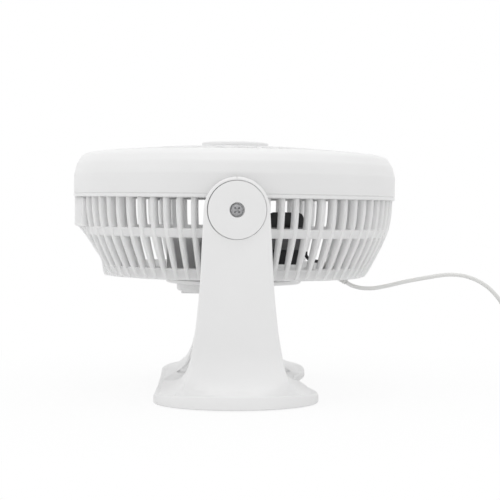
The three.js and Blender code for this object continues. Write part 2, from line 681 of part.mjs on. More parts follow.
// The dark pair of leads from the coil to the mains lead's sleeve.
const LEAD_ROUTE = [
  [54.2, 0, -30.5], [54.4, 0, -33.6], [56.6, 0, -36.2], [60.2, 0, -37.4], [64, 0, -38], [67.3, 0, -39.6],
];

function motorLead() {
  const path = new THREE.CatmullRomCurve3(LEAD_ROUTE.map((p) => new THREE.Vector3(...p)));
  const section = new THREE.Shape().absellipse(0, 0, 2.4, 1.25, 0, 2 * Math.PI);
  const options = { steps: 8, extrudePath: path, curveSegments: 4, bevelEnabled: false };
  return solid(new THREE.ExtrudeGeometry(section, options));
}

// ---------------------------------------------------------------- head: what turns
// One blade: a thin curved sheet from the hub to the tip, twisted flatter towards the tip.
const BLADE_TOP = 35;
const HUB_R = 19;
const BLADE_HALF_SWEEP = 29; // degrees of the circle that half a blade covers
const BLADE_THICK = 1.8;

function bladeSolid() {
  const [radial, across] = [3, 3];
  const sheet = (i, j, side) => {
    const t = i / radial;
    const u = j / across;
    const r = HUB_R - 1.2 + t * (BLADE_R - HUB_R + 1.2);
    const width = BLADE_HALF_SWEEP * (0.72 + 0.42 * Math.sin(Math.PI * (0.15 + 0.72 * t)));
    const lean = -16 + 26 * t;
    const angle = radians(lean + (2 * u - 1) * width);
    const rise = (9.5 - 4.6 * t) * (2 * u - 1);
    const camber = 3.2 * (1 - (2 * u - 1) ** 2);
    const z = 22 + rise + camber + side * BLADE_THICK;
    return [r * Math.cos(angle), r * Math.sin(angle), z];
  };
  const positions = [];
  for (let side = 0; side < 2; side++)
    for (let i = 0; i <= radial; i++)
      for (let j = 0; j <= across; j++) positions.push(...sheet(i, j, side));
  const at = (i, j, side) => (side * (radial + 1) + i) * (across + 1) + j;
  const index = [];
  const quad = (a, b, c, d) => index.push(a, b, c, a, c, d);
  for (let i = 0; i < radial; i++)
    for (let j = 0; j < across; j++) {
      quad(at(i, j, 1), at(i + 1, j, 1), at(i + 1, j + 1, 1), at(i, j + 1, 1));
      quad(at(i, j, 0), at(i, j + 1, 0), at(i + 1, j + 1, 0), at(i + 1, j, 0));
    }
  for (let i = 0; i < radial; i++) {
    quad(at(i, 0, 0), at(i + 1, 0, 0), at(i + 1, 0, 1), at(i, 0, 1));
    quad(at(i, across, 1), at(i + 1, across, 1), at(i + 1, across, 0), at(i, across, 0));
  }
  for (let j = 0; j < across; j++) {
    quad(at(0, j, 1), at(0, j + 1, 1), at(0, j + 1, 0), at(0, j, 0));
    quad(at(radial, j, 0), at(radial, j + 1, 0), at(radial, j + 1, 1), at(radial, j, 1));
  }
  const geometry = new THREE.BufferGeometry();
  geometry.setAttribute("position", new THREE.Float32BufferAttribute(positions, 3));
  geometry.setIndex(index);
  return solid(geometry);
}

function fanBlade() {
  const hub = turned(
    [
      [SHAFT_R + GAP, 9], [5, 9], [5, BLADE_TOP - 3], [HUB_R - 2.2, BLADE_TOP - 3],
      [HUB_R - 2.2, 11], [HUB_R, 11], [HUB_R, BLADE_TOP - 2], [HUB_R - 2, BLADE_TOP],
      [SHAFT_R + GAP, BLADE_TOP],
    ],
    18
  );
  const turns = Array.from({ length: BLADES }, (_, i) => (360 / BLADES) * i);
  const bore = disc(HUB_R - 0.8, 0, BLADE_TOP - 1, 18);
  const blades = cut(roundCopies(bladeSolid(), turns), bore);
  return join(blades, hub);
}

const bladeNut = () =>
  turned(
    [
      [SHAFT_R + GAP, BLADE_TOP + GAP], [8, BLADE_TOP + GAP], [7, 38.5], [5, 40.3], [0, 40.8],
      [0, 39.6], [SHAFT_R + GAP, 39.6],
    ],
    10
  );

function rotorGroup() {
  const rotor = new THREE.Group();
  piece(rotor, "fan_blade", fanBlade(), bladePlastic);
  piece(rotor, "blade_nut", bladeNut(), whitePlastic);
  piece(rotor, "motor_shaft", disc(SHAFT_R, -41.5, 39.2, 12), steel);
  const core = ring(SHAFT_R + GAP, BORE_R - 0.4, STACK_BOTTOM + 0.4, STACK_TOP - 0.4, 18);
  piece(rotor, "motor_rotor", core, laminations);
  return rotor;
}

function knobGroup() {
  const knob = new THREE.Group();
  knob.position.set(KNOB_X, 0, 0);
  const profile = [
    [0, -55.1], [KNOB_R, -55.1], [KNOB_R, -57.6], [KNOB_R - 0.8, -59.6], [KNOB_R - 2.6, -61.4],
    [KNOB_R - 6, -62.3], [0, -62.3],
  ];
  const grip = block(-KNOB_R + 3.4, KNOB_R - 3.4, -1.6, 1.6, -62.9, -60).intersect(
    disc(KNOB_R - 3, -63.2, -50, 12)
  );
  const bore = disc(SPINDLE_R + GAP, -58.6, -50, 12);
  piece(knob, "speed_knob", cut(join(turned(profile, 16), grip), bore), whitePlastic);
  piece(knob, "switch_spindle", disc(SPINDLE_R, -58.3, -36.4, 12), blackPlastic);
  return knob;
}

// ---------------------------------------------------------------- head: assembly
function headGroup() {
  const head = new THREE.Group();
  head.position.set(0, 0, PIVOT_Z);
  head.rotation.y = radians(REST_TILT);
  piece(head, "front_ring", frontRing(), whitePlastic);
  piece(head, "front_grille", frontGrille(), whitePlastic);
  piece(head, "grille_plate", grillePlate(), whitePlastic);
  piece(head, "rear_grille", rearGrille(), whitePlastic);
  piece(head, "rear_cover", rearCover(), whitePlastic);

  const lipScrew = moved(screw(3, 1.8, 1.2, 11), LIP_SCREW_R, 0, LIP_BOTTOM - 2 * GAP);
  LIP_SCREW_ANGLES.forEach((angle, i) =>
    piece(head, "ring_screw_" + (i + 1), turnedZ(lipScrew, angle), steel)
  );
  const coverScrew = moved(screw(3, 0.8, 1.5, 7), COVER_SCREW_R, 0, -53.7);
  COVER_SCREW_ANGLES.forEach((angle, i) =>
    piece(head, "cover_screw_" + (i + 1), turnedZ(coverScrew, angle), steel)
  );

  for (const [name, side] of [["near", -1], ["far", 1]]) {
    const bracket = side > 0 ? pivotBracket() : mirroredY(pivotBracket());
    piece(head, "pivot_bracket_" + name, bracket, whitePlastic);
    piece(head, "pivot_cap_" + name, layAlongY(pivotCap(), side), whitePlastic);
    piece(head, "pivot_screw_" + name, layAlongY(pivotScrew(), side), steel);
  }

  piece(head, "motor_core", motorCore(), laminations);
  piece(head, "motor_coil", motorCoil(), blackPlastic);
  piece(head, "coil_bobbin", coilBobbin(), blackPlastic);
  piece(head, "bearing_bar_front", bearingBar(STACK_TOP, 1), steel);
  piece(head, "bearing_bar_rear", bearingBar(STACK_BOTTOM, -1), steel);
  piece(head, "bearing_bush_front", bearingBush(STACK_TOP + 2, STACK_TOP + 11), bronze);
  piece(head, "bearing_bush_rear", bearingBush(STACK_BOTTOM - 11, STACK_BOTTOM - 2), bronze);
  for (const [name, side] of [["near", -1], ["far", 1]]) {
    piece(head, "motor_post_" + name, motorPost(side), greyPlastic);
    piece(head, "motor_bolt_" + name, motorBolt(side), steel);
  }
  piece(head, "switch_pocket", switchPocket(), greyPlastic);
  piece(head, "rotary_switch", rotarySwitch(), blackPlastic);
  piece(head, "motor_lead", motorLead(), blackPlastic);
  piece(head, "cord_sleeve", sleeveSolid(0), cordPlastic);
  head.add(rotorGroup(), knobGroup());
  return head;
}

// ---------------------------------------------------------------- the mains lead
// Its route in the plane of the tilt, [x, z], chosen by hand. The first stretch rides on the
// head; the second hangs clear of it, comes down to the table and runs into the coil.
const STUB_ROUTE = [
  [84.2, 79.6], [86.6, 78.1], [89.6, 76.8], [94.5, 75.5], [99.8, 75.1], [104.5, 75.2], [109.4, 75.9],
];
const FREE_ROUTE = [
  [109.7, 75.95], [117.3, 77.5], [127, 79.8], [136.8, 81.7], [146.6, 83.4], [155.5, 84.8],
  [163.3, 85.3], [172.7, 84.4], [181.6, 81.5], [189.8, 76.8], [196.7, 70.4], [202.3, 62.7],
  [206.8, 52], [210.9, 36.5], [214.9, 22], [217.7, 15], [221.8, 9.6], [227.2, 5.5],
  [233.4, 2.9], [240, 2.1],
];
// The coil: two layers on edge, wound in along the table and out again on top.
const COIL = { x: 266, y: 36, outer: 36, pitch: 3.9, turnsIn: 2.5, turnsOut: 3.25 };
const COIL_FLOOR = 1; // room for the tie underneath
const LAYER_RISE = 5.9;
const CLIMB_TURNS = 0.5;
const CLIMB_TUCK = 1.5; // the climbing half turn keeps this far inside its neighbours
const STEPS_PER_TURN = 16;
const PLUG_Y = 71; // where the lead meets the plug
const PLUG_Z = 7;

const ovalSection = (sides) =>
  Array.from({ length: sides }, (_, i) => {
    const a = (2 * Math.PI * (i + 0.5)) / sides;
    return [(CORD_WIDE / 2) * Math.cos(a), (CORD_THICK / 2) * Math.sin(a)];
  });

function flatLead(route, steps) {
  const path = new THREE.CatmullRomCurve3(
    route.map(([x, z]) => new THREE.Vector3(x, 0, z)), false, "catmullrom", 0.5
  );
  const section = flatShape(ovalSection(8));
  const options = { steps, extrudePath: path, bevelEnabled: false };
  return solid(new THREE.ExtrudeGeometry(section, options));
}

// Points of the coil with the direction of the lead's wide side at each.
function coilRoute() {
  const low = COIL_FLOOR + CORD_WIDE / 2;
  const route = [];
  const leadIn = [
    [240.3, 2.1, 90], [244, 2.1, 72], [249, 2.35, 45], [255, 3, 20], [260.5, low, 4],
  ];
  for (const [x, z, lay] of leadIn)
    route.push({ at: new THREE.Vector3(x, 0, z), lay: radians(lay) });
  const total = COIL.turnsIn + CLIMB_TURNS + COIL.turnsOut;
  const inner = COIL.outer - COIL.pitch * COIL.turnsIn;
  for (let step = 0; step <= total * STEPS_PER_TURN; step++) {
    const turn = step / STEPS_PER_TURN;
    const climb = THREE.MathUtils.clamp((turn - COIL.turnsIn) / CLIMB_TURNS, 0, 1);
    const out = Math.max(0, turn - COIL.turnsIn - CLIMB_TURNS);
    const r = turn < COIL.turnsIn
      ? COIL.outer - COIL.pitch * turn
      : inner + COIL.pitch * out - CLIMB_TUCK * Math.sin(Math.PI * climb);
    const angle = 2 * Math.PI * turn - Math.PI / 2;
    const z = low + LAYER_RISE * THREE.MathUtils.smoothstep(climb, 0, 1);
    const at = new THREE.Vector3(COIL.x + r * Math.cos(angle), COIL.y + r * Math.sin(angle), z);
    route.push({ at, lay: 0 });
  }
  const last = route[route.length - 1].at;
  const top = low + LAYER_RISE;
  const leadOut = [[44, top - 0.3], [52, top - 1.2], [60, PLUG_Z + 0.5], [66, PLUG_Z], [PLUG_Y, PLUG_Z]];
  for (const [y, z] of leadOut) route.push({ at: new THREE.Vector3(last.x, y, z), lay: 0 });
  return route;
}

// A tube along a route of points, its wide side turned from upright (lay 0) to flat (lay 90).
function woundLead(route, sides) {
  const section = ovalSection(sides);
  const positions = [];
  route.forEach(({ at, lay }, i) => {
    const before = route[Math.max(i - 1, 0)].at;
    const after = route[Math.min(i + 1, route.length - 1)].at;
    const along = after.clone().sub(before).normalize();
    const level = new THREE.Vector3(0, 0, 1).cross(along).normalize();
    const upright = along.clone().cross(level);
    const wide = upright.multiplyScalar(Math.cos(lay)).addScaledVector(level, Math.sin(lay));
    const thick = along.clone().cross(wide);
    for (const [w, t] of section) {
      const p = at.clone().addScaledVector(wide, w).addScaledVector(thick, t);
      positions.push(p.x, p.y, p.z);
    }
  });
  const index = [];
  const last = route.length - 1;
  for (let i = 0; i < last; i++)
    for (let k = 0; k < sides; k++) {
      const [a, b] = [i * sides + k, i * sides + ((k + 1) % sides)];
      index.push(a, b, b + sides, a, b + sides, a + sides);
    }
  for (let k = 1; k < sides - 1; k++) {
    index.push(0, k + 1, k);
    index.push(last * sides, last * sides + k, last * sides + k + 1);
  }
  const geometry = new THREE.BufferGeometry();
  geometry.setAttribute("position", new THREE.Float32BufferAttribute(positions, 3));
  geometry.setIndex(index);
  return solid(geometry);
}

// Least gap between two turns, measured between points on their skins.
function leastGap(route, sides) {
  const skin = route.map(({ at }, i) => {
    const before = route[Math.max(i - 1, 0)].at;
    const after = route[Math.min(i + 1, route.length - 1)].at;
    const along = after.clone().sub(before).normalize();
    const level = new THREE.Vector3(0, 0, 1).cross(along).normalize();
    const upright = along.clone().cross(level);
    return ovalSection(sides).map(([w, t]) =>
      at.clone().addScaledVector(upright, w).addScaledVector(level, t)
    );
  });
  let least = Infinity;
  for (let i = 0; i < route.length; i++)
    for (let j = i + STEPS_PER_TURN / 2; j < route.length; j++) {
      if (route[i].at.distanceTo(route[j].at) > 2 * CORD_WIDE) continue;
      for (const p of skin[i]) for (const q of skin[j]) least = Math.min(least, p.distanceTo(q));
    }
  return least;
}

function cordTie() {
  const innerR = COIL.outer - COIL.pitch * COIL.turnsIn - CLIMB_TUCK - CORD_THICK / 2 - 0.5;
  const outerR = COIL.outer + COIL.pitch * (COIL.turnsOut - COIL.turnsIn) + CORD_THICK / 2;
  const top = COIL_FLOOR + CORD_WIDE + LAYER_RISE + 0.4;
  const frameOf = (grow, bottom) => flatShape([
    [-outerR - grow, bottom], [-innerR + grow, bottom], [-innerR + grow, top + grow],
    [-outerR - grow, top + grow],
  ]);
  const loop = frameOf(0.7, 0.1);
  loop.holes.push(frameOf(0, 0.7));
  return moved(alongY(loop, -2.5, 2.5), COIL.x, COIL.y, 0);
}

const PLUG = { long: 35, wide: 26, entryWide: 11, thick: 13.4, pinR: 2, pinLong: 19, pinGap: 18.6 };

function plugBody() {
  const [narrow, wide] = [PLUG.entryWide / 2, PLUG.wide / 2];
  const outline = flatShape([
    [-narrow, 0], [narrow, 0], [wide - 3, 13], [wide, 20], [wide, PLUG.long], [-wide, PLUG.long],
    [-wide, 20], [-wide + 3, 13],
  ]);
  const side = flatShape([
    [0, -4.2], [20, -PLUG.thick / 2], [PLUG.long, -PLUG.thick / 2], [PLUG.long, PLUG.thick / 2],
    [20, PLUG.thick / 2], [0, 4.2],
  ]);
  const body = alongZ(outline, -10, 10).intersect(alongX(side, -20, 20));
  const socket = layAlongY(disc(PLUG.pinR + GAP, PLUG.long - 6, PLUG.long + 1, 10), 1);
  const sockets = [-1, 1].map((s) => moved(socket, (s * PLUG.pinGap) / 2, 0, 0));
  return cut(body, ...sockets);
}

const PIN_PROFILE = [
  [0, PLUG.long - 5.6], [PLUG.pinR, PLUG.long - 5.6], [PLUG.pinR, PLUG.long + 18],
  [1.2, PLUG.long + PLUG.pinLong], [0, PLUG.long + PLUG.pinLong],
];
const plugPin = (side) =>
  moved(layAlongY(turned(PIN_PROFILE, 8), 1), (side * PLUG.pinGap) / 2, 0, 0);

function cordGroup() {
  const cord = new THREE.Group();
  piece(cord, "cord_stub", flatLead(STUB_ROUTE, 6), cordPlastic);
  piece(cord, "cord_free", flatLead(FREE_ROUTE, 17), cordPlastic);
  const route = coilRoute();
  piece(cord, "cord_coil", woundLead(route, 6), cordPlastic);
  console.log("least gap between turns of the coil, mm:", leastGap(route, 12).toFixed(2));
  piece(cord, "cord_tie", cordTie(), blackPlastic);
  const end = route[route.length - 1].at;
  const plug = new THREE.Group();
  plug.position.set(end.x, end.y + GAP, end.z);
  piece(plug, "plug_body", plugBody(), cordPlastic);
  piece(plug, "plug_pin_left", plugPin(-1), steel);
  piece(plug, "plug_pin_right", plugPin(1), steel);
  cord.add(plug);
  return cord;
}

const fan = new THREE.Group();
fan.add(standGroup(), headGroup(), cordGroup());
export default fan;
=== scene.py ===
import bmesh
import bpy
import math
from mathutils import Matrix, Vector


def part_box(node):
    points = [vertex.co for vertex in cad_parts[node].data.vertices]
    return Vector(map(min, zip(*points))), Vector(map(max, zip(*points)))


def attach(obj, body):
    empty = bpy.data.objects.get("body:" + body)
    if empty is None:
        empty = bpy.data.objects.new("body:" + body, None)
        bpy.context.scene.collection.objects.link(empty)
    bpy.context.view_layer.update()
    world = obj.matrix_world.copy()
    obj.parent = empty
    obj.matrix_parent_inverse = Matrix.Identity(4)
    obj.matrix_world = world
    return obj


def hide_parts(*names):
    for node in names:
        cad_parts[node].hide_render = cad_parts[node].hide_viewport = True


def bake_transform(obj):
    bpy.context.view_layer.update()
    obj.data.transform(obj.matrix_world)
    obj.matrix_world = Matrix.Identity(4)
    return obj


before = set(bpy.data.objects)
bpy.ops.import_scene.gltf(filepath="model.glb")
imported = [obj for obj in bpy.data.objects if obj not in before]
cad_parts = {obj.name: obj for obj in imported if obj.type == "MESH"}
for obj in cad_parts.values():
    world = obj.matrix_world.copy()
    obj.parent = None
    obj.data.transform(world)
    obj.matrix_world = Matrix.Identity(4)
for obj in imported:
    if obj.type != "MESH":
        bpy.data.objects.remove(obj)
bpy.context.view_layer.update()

MM = 0.001
radians, sin, cos, sqrt, pi = math.radians, math.sin, math.cos, math.sqrt, math.pi
moved = Matrix.Translation

# ---- sizes, in millimetres
PIVOT_Z = 134
REST_TILT = 0.75  # degrees that the head leans towards +X
HEAD_R = 119.5
DUCT_R = 95.3  # inside of the head's rim, round the blades
CRADLE_R = 127.5  # the stand's inner curve, about the tilt axis
ARM_BOSS_R = 21.9  # round top of an arm
ARM_INNER_Y = 122.8
ARM_OUTER_Y = 134
PIN_R = 7.5  # the pin that the head turns on
CAP_SEAT_Y = 129.8  # floor of the recess that a pivot cap sits in
RIBS = 72
RIB_TURN = 0.5  # degrees from +X to the first rib of the rear grille
RIB_HALF = 0.78  # degrees of the circle that half a rib covers
FRONT_RIBS = 40
FRONT_SWIRL = 16  # degrees that a front rib turns on its way in
BLADES = 5
KNOB_X, KNOB_R = -28, 14.4
CORD_WIDE, CORD_THICK = 5.2, 3.2

SIDES = ((-1, "near"), (1, "far"))
QUADRANTS = ((1, 1), (-1, 1), (-1, -1), (1, -1))
STAND = Matrix.Identity(4)
HEAD = moved((0, 0, PIVOT_Z)) @ Matrix.Rotation(radians(REST_TILT), 4, "Y")


def add_object(name, data):
    made = bpy.data.objects.new(name, data)
    bpy.context.scene.collection.objects.link(made)
    return made


# ---- camera
def add_camera():
    """The photograph's view: level with the tilt axis, from the near arm's side."""
    picture_px, focal_px, distance = 500, 1450, 1.0875
    right_px, down_px = 35, 40  # where the level line of sight lies from the picture's middle
    eye = Vector((-0.0145, -distance, 0.134))
    look = Vector((right_px / focal_px, 1, -down_px / focal_px)).normalized()
    right = look.cross(Vector((0, 0, 1))).normalized()
    up = right.cross(look)
    camera = bpy.data.cameras.new("camera")
    camera.sensor_width = 36
    camera.lens = camera.sensor_width * focal_px / picture_px
    holder = add_object("camera", camera)
    turn = Matrix((right, up, -look)).transposed().to_4x4()
    holder.matrix_world = moved(eye) @ turn
    bpy.context.scene.camera = holder


add_camera()


# ---- mesh helpers
def fillet(corners, steps):
    """Corners (a, b) or (a, b, radius); a corner with a radius becomes an arc."""
    made = []
    count = len(corners)
    for i, corner in enumerate(corners):
        here = Vector(corner[:2])
        radius = corner[2] if len(corner) > 2 else 0
        if not radius:
            made.append(tuple(here))
            continue
        back = Vector(corners[i - 1][:2]) - here
        ahead = Vector(corners[(i + 1) % count][:2]) - here
        half = back.angle(ahead) / 2
        reach = min(radius / math.tan(half), 0.49 * back.length, 0.49 * ahead.length)
        radius = reach * math.tan(half)
        way = back.normalized() + ahead.normalized()
        centre = here + way.normalized() * (radius / sin(half))
        first = here + back.normalized() * reach - centre
        last = here + ahead.normalized() * reach - centre
        start = math.atan2(first.y, first.x)
        sweep = math.atan2(last.y, last.x) - start
        sweep = (sweep + pi) % (2 * pi) - pi
        for k in range(steps + 1):
            angle = start + sweep * k / steps
            made.append((centre.x + radius * cos(angle), centre.y + radius * sin(angle)))
    return made


def lathe(profile, steps):
    """A closed profile of (radius, height) turned about Z."""
    verts, faces, rings = [], [], []
    for r, z in profile:
        first = len(verts)
        if r < 1e-6:
            verts.append((0, 0, z))
            rings.append([first] * steps)
            continue
        for k in range(steps):
            angle = 2 * pi * k / steps
            verts.append((r * cos(angle), r * sin(angle), z))
        rings.append(list(range(first, first + steps)))
    for i in range(len(rings)):
        a, b = rings[i], rings[(i + 1) % len(rings)]
        for k in range(steps):
            j = (k + 1) % steps
            corners = list(dict.fromkeys((a[k], a[j], b[j], b[k])))
            if len(corners) > 2:
                faces.append(corners)
    return verts, faces


def loft(rings):
    """Loops of as many points each, joined one after the other, with both ends closed."""
    size = len(rings[0])
    verts = [tuple(p) for ring in rings for p in ring]
    faces = []
    for i in range(len(rings) - 1):
        for k in range(size):
            j = (k + 1) % size
            faces.append((i * size + k, i * size + j, (i + 1) * size + j, (i + 1) * size + k))
    faces.append(tuple(range(size)))
    faces.append(tuple(range((len(rings) - 1) * size, len(rings) * size)))
    return verts, faces


def heading(points, i):
    """The direction of a line of points at one of them."""
    return (points[min(i + 1, len(points) - 1)] - points[max(i - 1, 0)]).normalized()


def placed(part, matrix):
    verts, faces = part
    return [tuple(matrix @ Vector(v)) for v in verts], faces


def about_z(part, degrees):
    return placed(part, Matrix.Rotation(radians(degrees), 4, "Z"))


def along_y(part, side, z=0):
    """A part made about Z, laid along Y so that its top points to +Y or -Y."""
    turn = Matrix.Rotation(radians(-90 * side), 4, "X")
    return placed(part, moved((0, 0, z)) @ turn)


def finish_mesh(mesh, sharp):
    """Outward faces, no doubled points, smooth but for the edges over an angle."""
    bm = bmesh.new()
    bm.from_mesh(mesh)
    bmesh.ops.remove_doubles(bm, verts=bm.verts, dist=1e-6)
    bmesh.ops.dissolve_degenerate(bm, edges=bm.edges, dist=1e-7)
    bmesh.ops.recalc_face_normals(bm, faces=bm.faces)
    bm.to_mesh(mesh)
    bm.free()
    mesh.shade_smooth()
    mesh.set_sharp_from_angle(angle=radians(sharp))


def new_object(name, parts, matrix=STAND, sharp=40):
    """One object of the given parts, in metres, placed by a matrix in millimetres."""
    verts, faces = [], []
    for part_verts, part_faces in parts:
        base = len(verts)
        verts += [(matrix @ Vector(v)) * MM for v in part_verts]
        faces += [tuple(base + i for i in face) for face in part_faces]
    mesh = bpy.data.meshes.new(name)
    mesh.from_pydata(verts, [], faces)
    piece = add_object(name, mesh)
    finish_mesh(mesh, sharp)
    return piece


def turned(name, profile, corner_steps, steps, matrix=HEAD, sharp=50, side=0):
    """A turned object whose profile has rounded corners, upright or laid to one side."""
    part = lathe(fillet(profile, corner_steps), steps)
    return new_object(name, [along_y(part, side) if side else part], matrix, sharp)


def dress(piece, body, material, *nodes):
    """Puts a piece on its body, in its material, in place of CAD nodes."""
    piece.data.materials.clear()
    piece.data.materials.append(material)
    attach(piece, body)
    if nodes:
        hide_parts(*nodes)
    return piece


def modify(piece, kind, sharp=40, **settings):
    """Gives a piece a modifier with the settings named, and applies it."""
    modifier = piece.modifiers.new("change", kind)
    for key, value in settings.items():
        setattr(modifier, key, value)
    bpy.context.view_layer.update()
    deps = bpy.context.evaluated_depsgraph_get()
    made = bpy.data.meshes.new_from_object(piece.evaluated_get(deps))
    piece.modifiers.clear()
    piece.data = made
    finish_mesh(made, sharp)


def carve(piece, part, matrix=STAND):
    cutter = new_object("cutter", [part], matrix)
    modify(piece, "BOOLEAN", operation="DIFFERENCE", solver="EXACT", object=cutter)
    bpy.data.objects.remove(cutter)


def united(name, parts, sharp):
    """One closed skin from parts that overlap, so that light soaks through it evenly."""
    whole, *others = [new_object(name, [part], HEAD, sharp) for part in parts]
    group = bpy.data.collections.new(name)
    for other in others:
        group.objects.link(other)
    union = {"operation": "UNION", "operand_type": "COLLECTION", "solver": "MANIFOLD"}
    modify(whole, "BOOLEAN", sharp, **union, collection=group)
    for other in others:
        bpy.data.objects.remove(other)
    bpy.data.collections.remove(group)
    return whole


def softened(node, bevel, material, body):
    """A copy of a CAD node with its edges rounded, in the node's place."""
    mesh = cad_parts[node].data.copy()
    piece = add_object(node + "_soft", mesh)
    bm = bmesh.new()
    bm.from_mesh(mesh)
    bmesh.ops.remove_doubles(bm, verts=bm.verts, dist=2e-6)
    bmesh.ops.dissolve_limit(bm, angle_limit=radians(2), verts=bm.verts, edges=bm.edges)
    bm.to_mesh(mesh)
    bm.free()
    edges = {"limit_method": "ANGLE", "angle_limit": radians(35)}
    modify(piece, "BEVEL", width=bevel * MM, segments=2, **edges)
    return dress(piece, body, material, node)


def set_up(node, values):
    """Sets a shader node's inputs and settings by name."""
    for key, value in values.items():
        if key in node.inputs:
            node.inputs[key].default_value = value
        else:
            setattr(node, key, value)


def base_material(name, color, roughness, metallic=0.0):
    material = bpy.data.materials.new(name)
    material.use_nodes = True
    shader = material.node_tree.nodes["Principled BSDF"]
    set_up(shader, {"Base Color": (*color, 1), "Roughness": roughness, "Metallic": metallic})
    material.diffuse_color = (*color, 1)
    return material, shader


def add_node(owner, kind, **values):
    node = owner.node_tree.nodes.new("ShaderNode" + kind)
    set_up(node, values)
    return node


def link(owner, source, target):
    owner.node_tree.links.new(source, target)


def textured(material, kind, **values):
    """The strength of a texture in the object's own space."""
    space = add_node(material, "TexCoord")
    made = add_node(material, kind, **values)
    link(material, space.outputs["Object"], made.inputs["Vector"])
    return made.outputs["Fac"]


def noise_of(material, scale, detail, roughness=0.5):
    """Noise; scale is in waves per metre."""
    values = {"Scale": scale, "Detail": detail, "Roughness": roughness}
    return textured(material, "TexNoise", **values)


def bands_of(material, axis, scale, distortion=0.0):
    """Straight bands across an axis; scale is in bands per 2 pi metres, as Blender counts them."""
    values = {"Scale": scale, "Distortion": distortion, "bands_direction": axis}
    return textured(material, "TexWave", **values)


def ranged(material, source, low, high, start=0.3, end=0.7):
    """Maps a texture value onto low to high."""
    made = add_node(material, "MapRange")
    set_up(made, {"From Min": start, "From Max": end, "To Min": low, "To Max": high})
    link(material, source, made.inputs["Value"])
    return made.outputs["Result"]


def tinted(material, shader, source, dark, light, start=0.3, end=0.7):
    """Colours the surface between two shades by a texture value."""
    ramp = add_node(material, "ValToRGB")
    for stop, place, color in zip(ramp.color_ramp.elements, (start, end), (dark, light)):
        stop.position = place
        stop.color = (*color, 1)
    link(material, source, ramp.inputs["Fac"])
    link(material, ramp.outputs["Color"], shader.inputs["Base Color"])


def bumped(material, shader, source, height, strength, under=None):
    """Raises the surface by a texture value; height is in metres."""
    bump = add_node(material, "Bump", Strength=strength, Distance=height)
    link(material, source, bump.inputs["Height"])
    if under:
        link(material, under, bump.inputs["Normal"])
    link(material, bump.outputs["Normal"], shader.inputs["Normal"])
    return bump.outputs["Normal"]


def shade(color, factor):
    return tuple(min(1, c * factor) for c in color)


def moulded(
    name, color, roughness, grain=1400, depth=0.00002, spread=0.015, coat=0.0, glow=0.0
):
    """Moulded plastic: a fine spark-eroded grain, soft flow shades and uneven gloss.

    grain is in waves per metre and depth in metres; glow is the share of light that soaks in.
    """
    material, shader = base_material(name, color, roughness)
    cloud = noise_of(material, 14, 2)
    tinted(material, shader, cloud, shade(color, 1 - spread), shade(color, 1 + spread))
    fine = noise_of(material, grain, 4, 0.6)
    soft = noise_of(material, 55, 2)
    rough = ranged(material, soft, roughness - 0.05, roughness + 0.05)
    link(material, rough, shader.inputs["Roughness"])
    first = bumped(material, shader, soft, 0.00006, 0.35)
    bumped(material, shader, fine, depth, 0.6, first)
    surface = {"IOR": 1.53, "Coat Weight": coat, "Coat Roughness": 0.2}
    soak = {"Subsurface Weight": glow, "Subsurface Radius": (1, 1, 1), "Subsurface Scale": 0.014}
    set_up(shader, surface | soak)
    return material


def metal(name, color, roughness, axis="X", grain=2500, depth=0.000012):
    """Bare metal with a drawn grain and smudges of dull plating."""
    material, shader = base_material(name, color, roughness, 1.0)
    cloud = noise_of(material, 160, 3)
    tinted(material, shader, cloud, shade(color, 0.86), shade(color, 1.08))
    rough = ranged(material, cloud, roughness - 0.08, roughness + 0.12)
    link(material, rough, shader.inputs["Roughness"])
    bumped(material, shader, bands_of(material, axis, grain, 3.0), depth, 0.5)
    return material


WHITE = (0.9, 0.9, 0.9)
white_plastic = moulded("white_plastic", WHITE, 0.42)
grille_plastic = moulded(
    "grille_plastic", shade(WHITE, 0.99), 0.38, 1800, 0.000012, glow=1.0
)
cap_plastic = moulded("cap_plastic", shade(WHITE, 0.985), 0.46, 1100, 0.00003)
rim_plastic = moulded("rim_plastic", WHITE, 0.42, glow=0.12)
pocket_plastic = moulded("pocket_plastic", shade(WHITE, 0.98), 0.5, glow=1.0)
knob_plastic = moulded("knob_plastic", shade(WHITE, 0.97), 0.36, 1600)
grey_plastic = moulded("grey_plastic", (0.74, 0.74, 0.73), 0.5, 1200, 0.00003)
blade_plastic = moulded(
    "blade_plastic", (0.82, 0.83, 0.83), 0.26, 900, 0.00001, 0.02, 0.3, glow=1.0
)
black_plastic = moulded(
    "black_plastic", (0.022, 0.022, 0.024), 0.48, 1500, 0.00003, 0.15
)
foot_rubber = moulded("foot_rubber", (0.05, 0.05, 0.052), 0.82, 700, 0.00008, 0.2)
cord_plastic = moulded(
    "cord_plastic", (0.80, 0.80, 0.785), 0.4, 2200, 0.00001, 0.01, 0.15
)
plug_plastic = moulded("plug_plastic", (0.78, 0.78, 0.765), 0.5, 1300, 0.00003)
steel = metal("steel", (0.60, 0.61, 0.63), 0.3)
dull_steel = metal("dull_steel", (0.42, 0.42, 0.43), 0.36)
cast_metal = metal("cast_metal", (0.42, 0.43, 0.45), 0.5, "Y", 500, 0.00003)
bronze = metal("bronze", (0.50, 0.36, 0.18), 0.45)


def lamination_material():
    """A stack of thin oiled iron sheets, seen edge on."""
    material, shader = base_material("laminations", (0.13, 0.13, 0.135), 0.42, 0.85)
    sheets = bands_of(material, "Z", 640)
    tinted(material, shader, sheets, (0.05, 0.05, 0.052), (0.19, 0.19, 0.195), 0.05, 0.5)
    bumped(material, shader, sheets, 0.00012, 0.8)
    return material


def winding_material():
    """Dark tape over turns of wire."""
    material, shader = base_material("winding", (0.02, 0.02, 0.021), 0.5)
    turns = bands_of(material, "Y", 420, 0.6)
    tinted(material, shader, turns, (0.012, 0.011, 0.011), (0.035, 0.032, 0.03), 0.1, 0.9)
    bumped(material, shader, turns, 0.00025, 0.7)
    return material


laminations = lamination_material()
winding = winding_material()

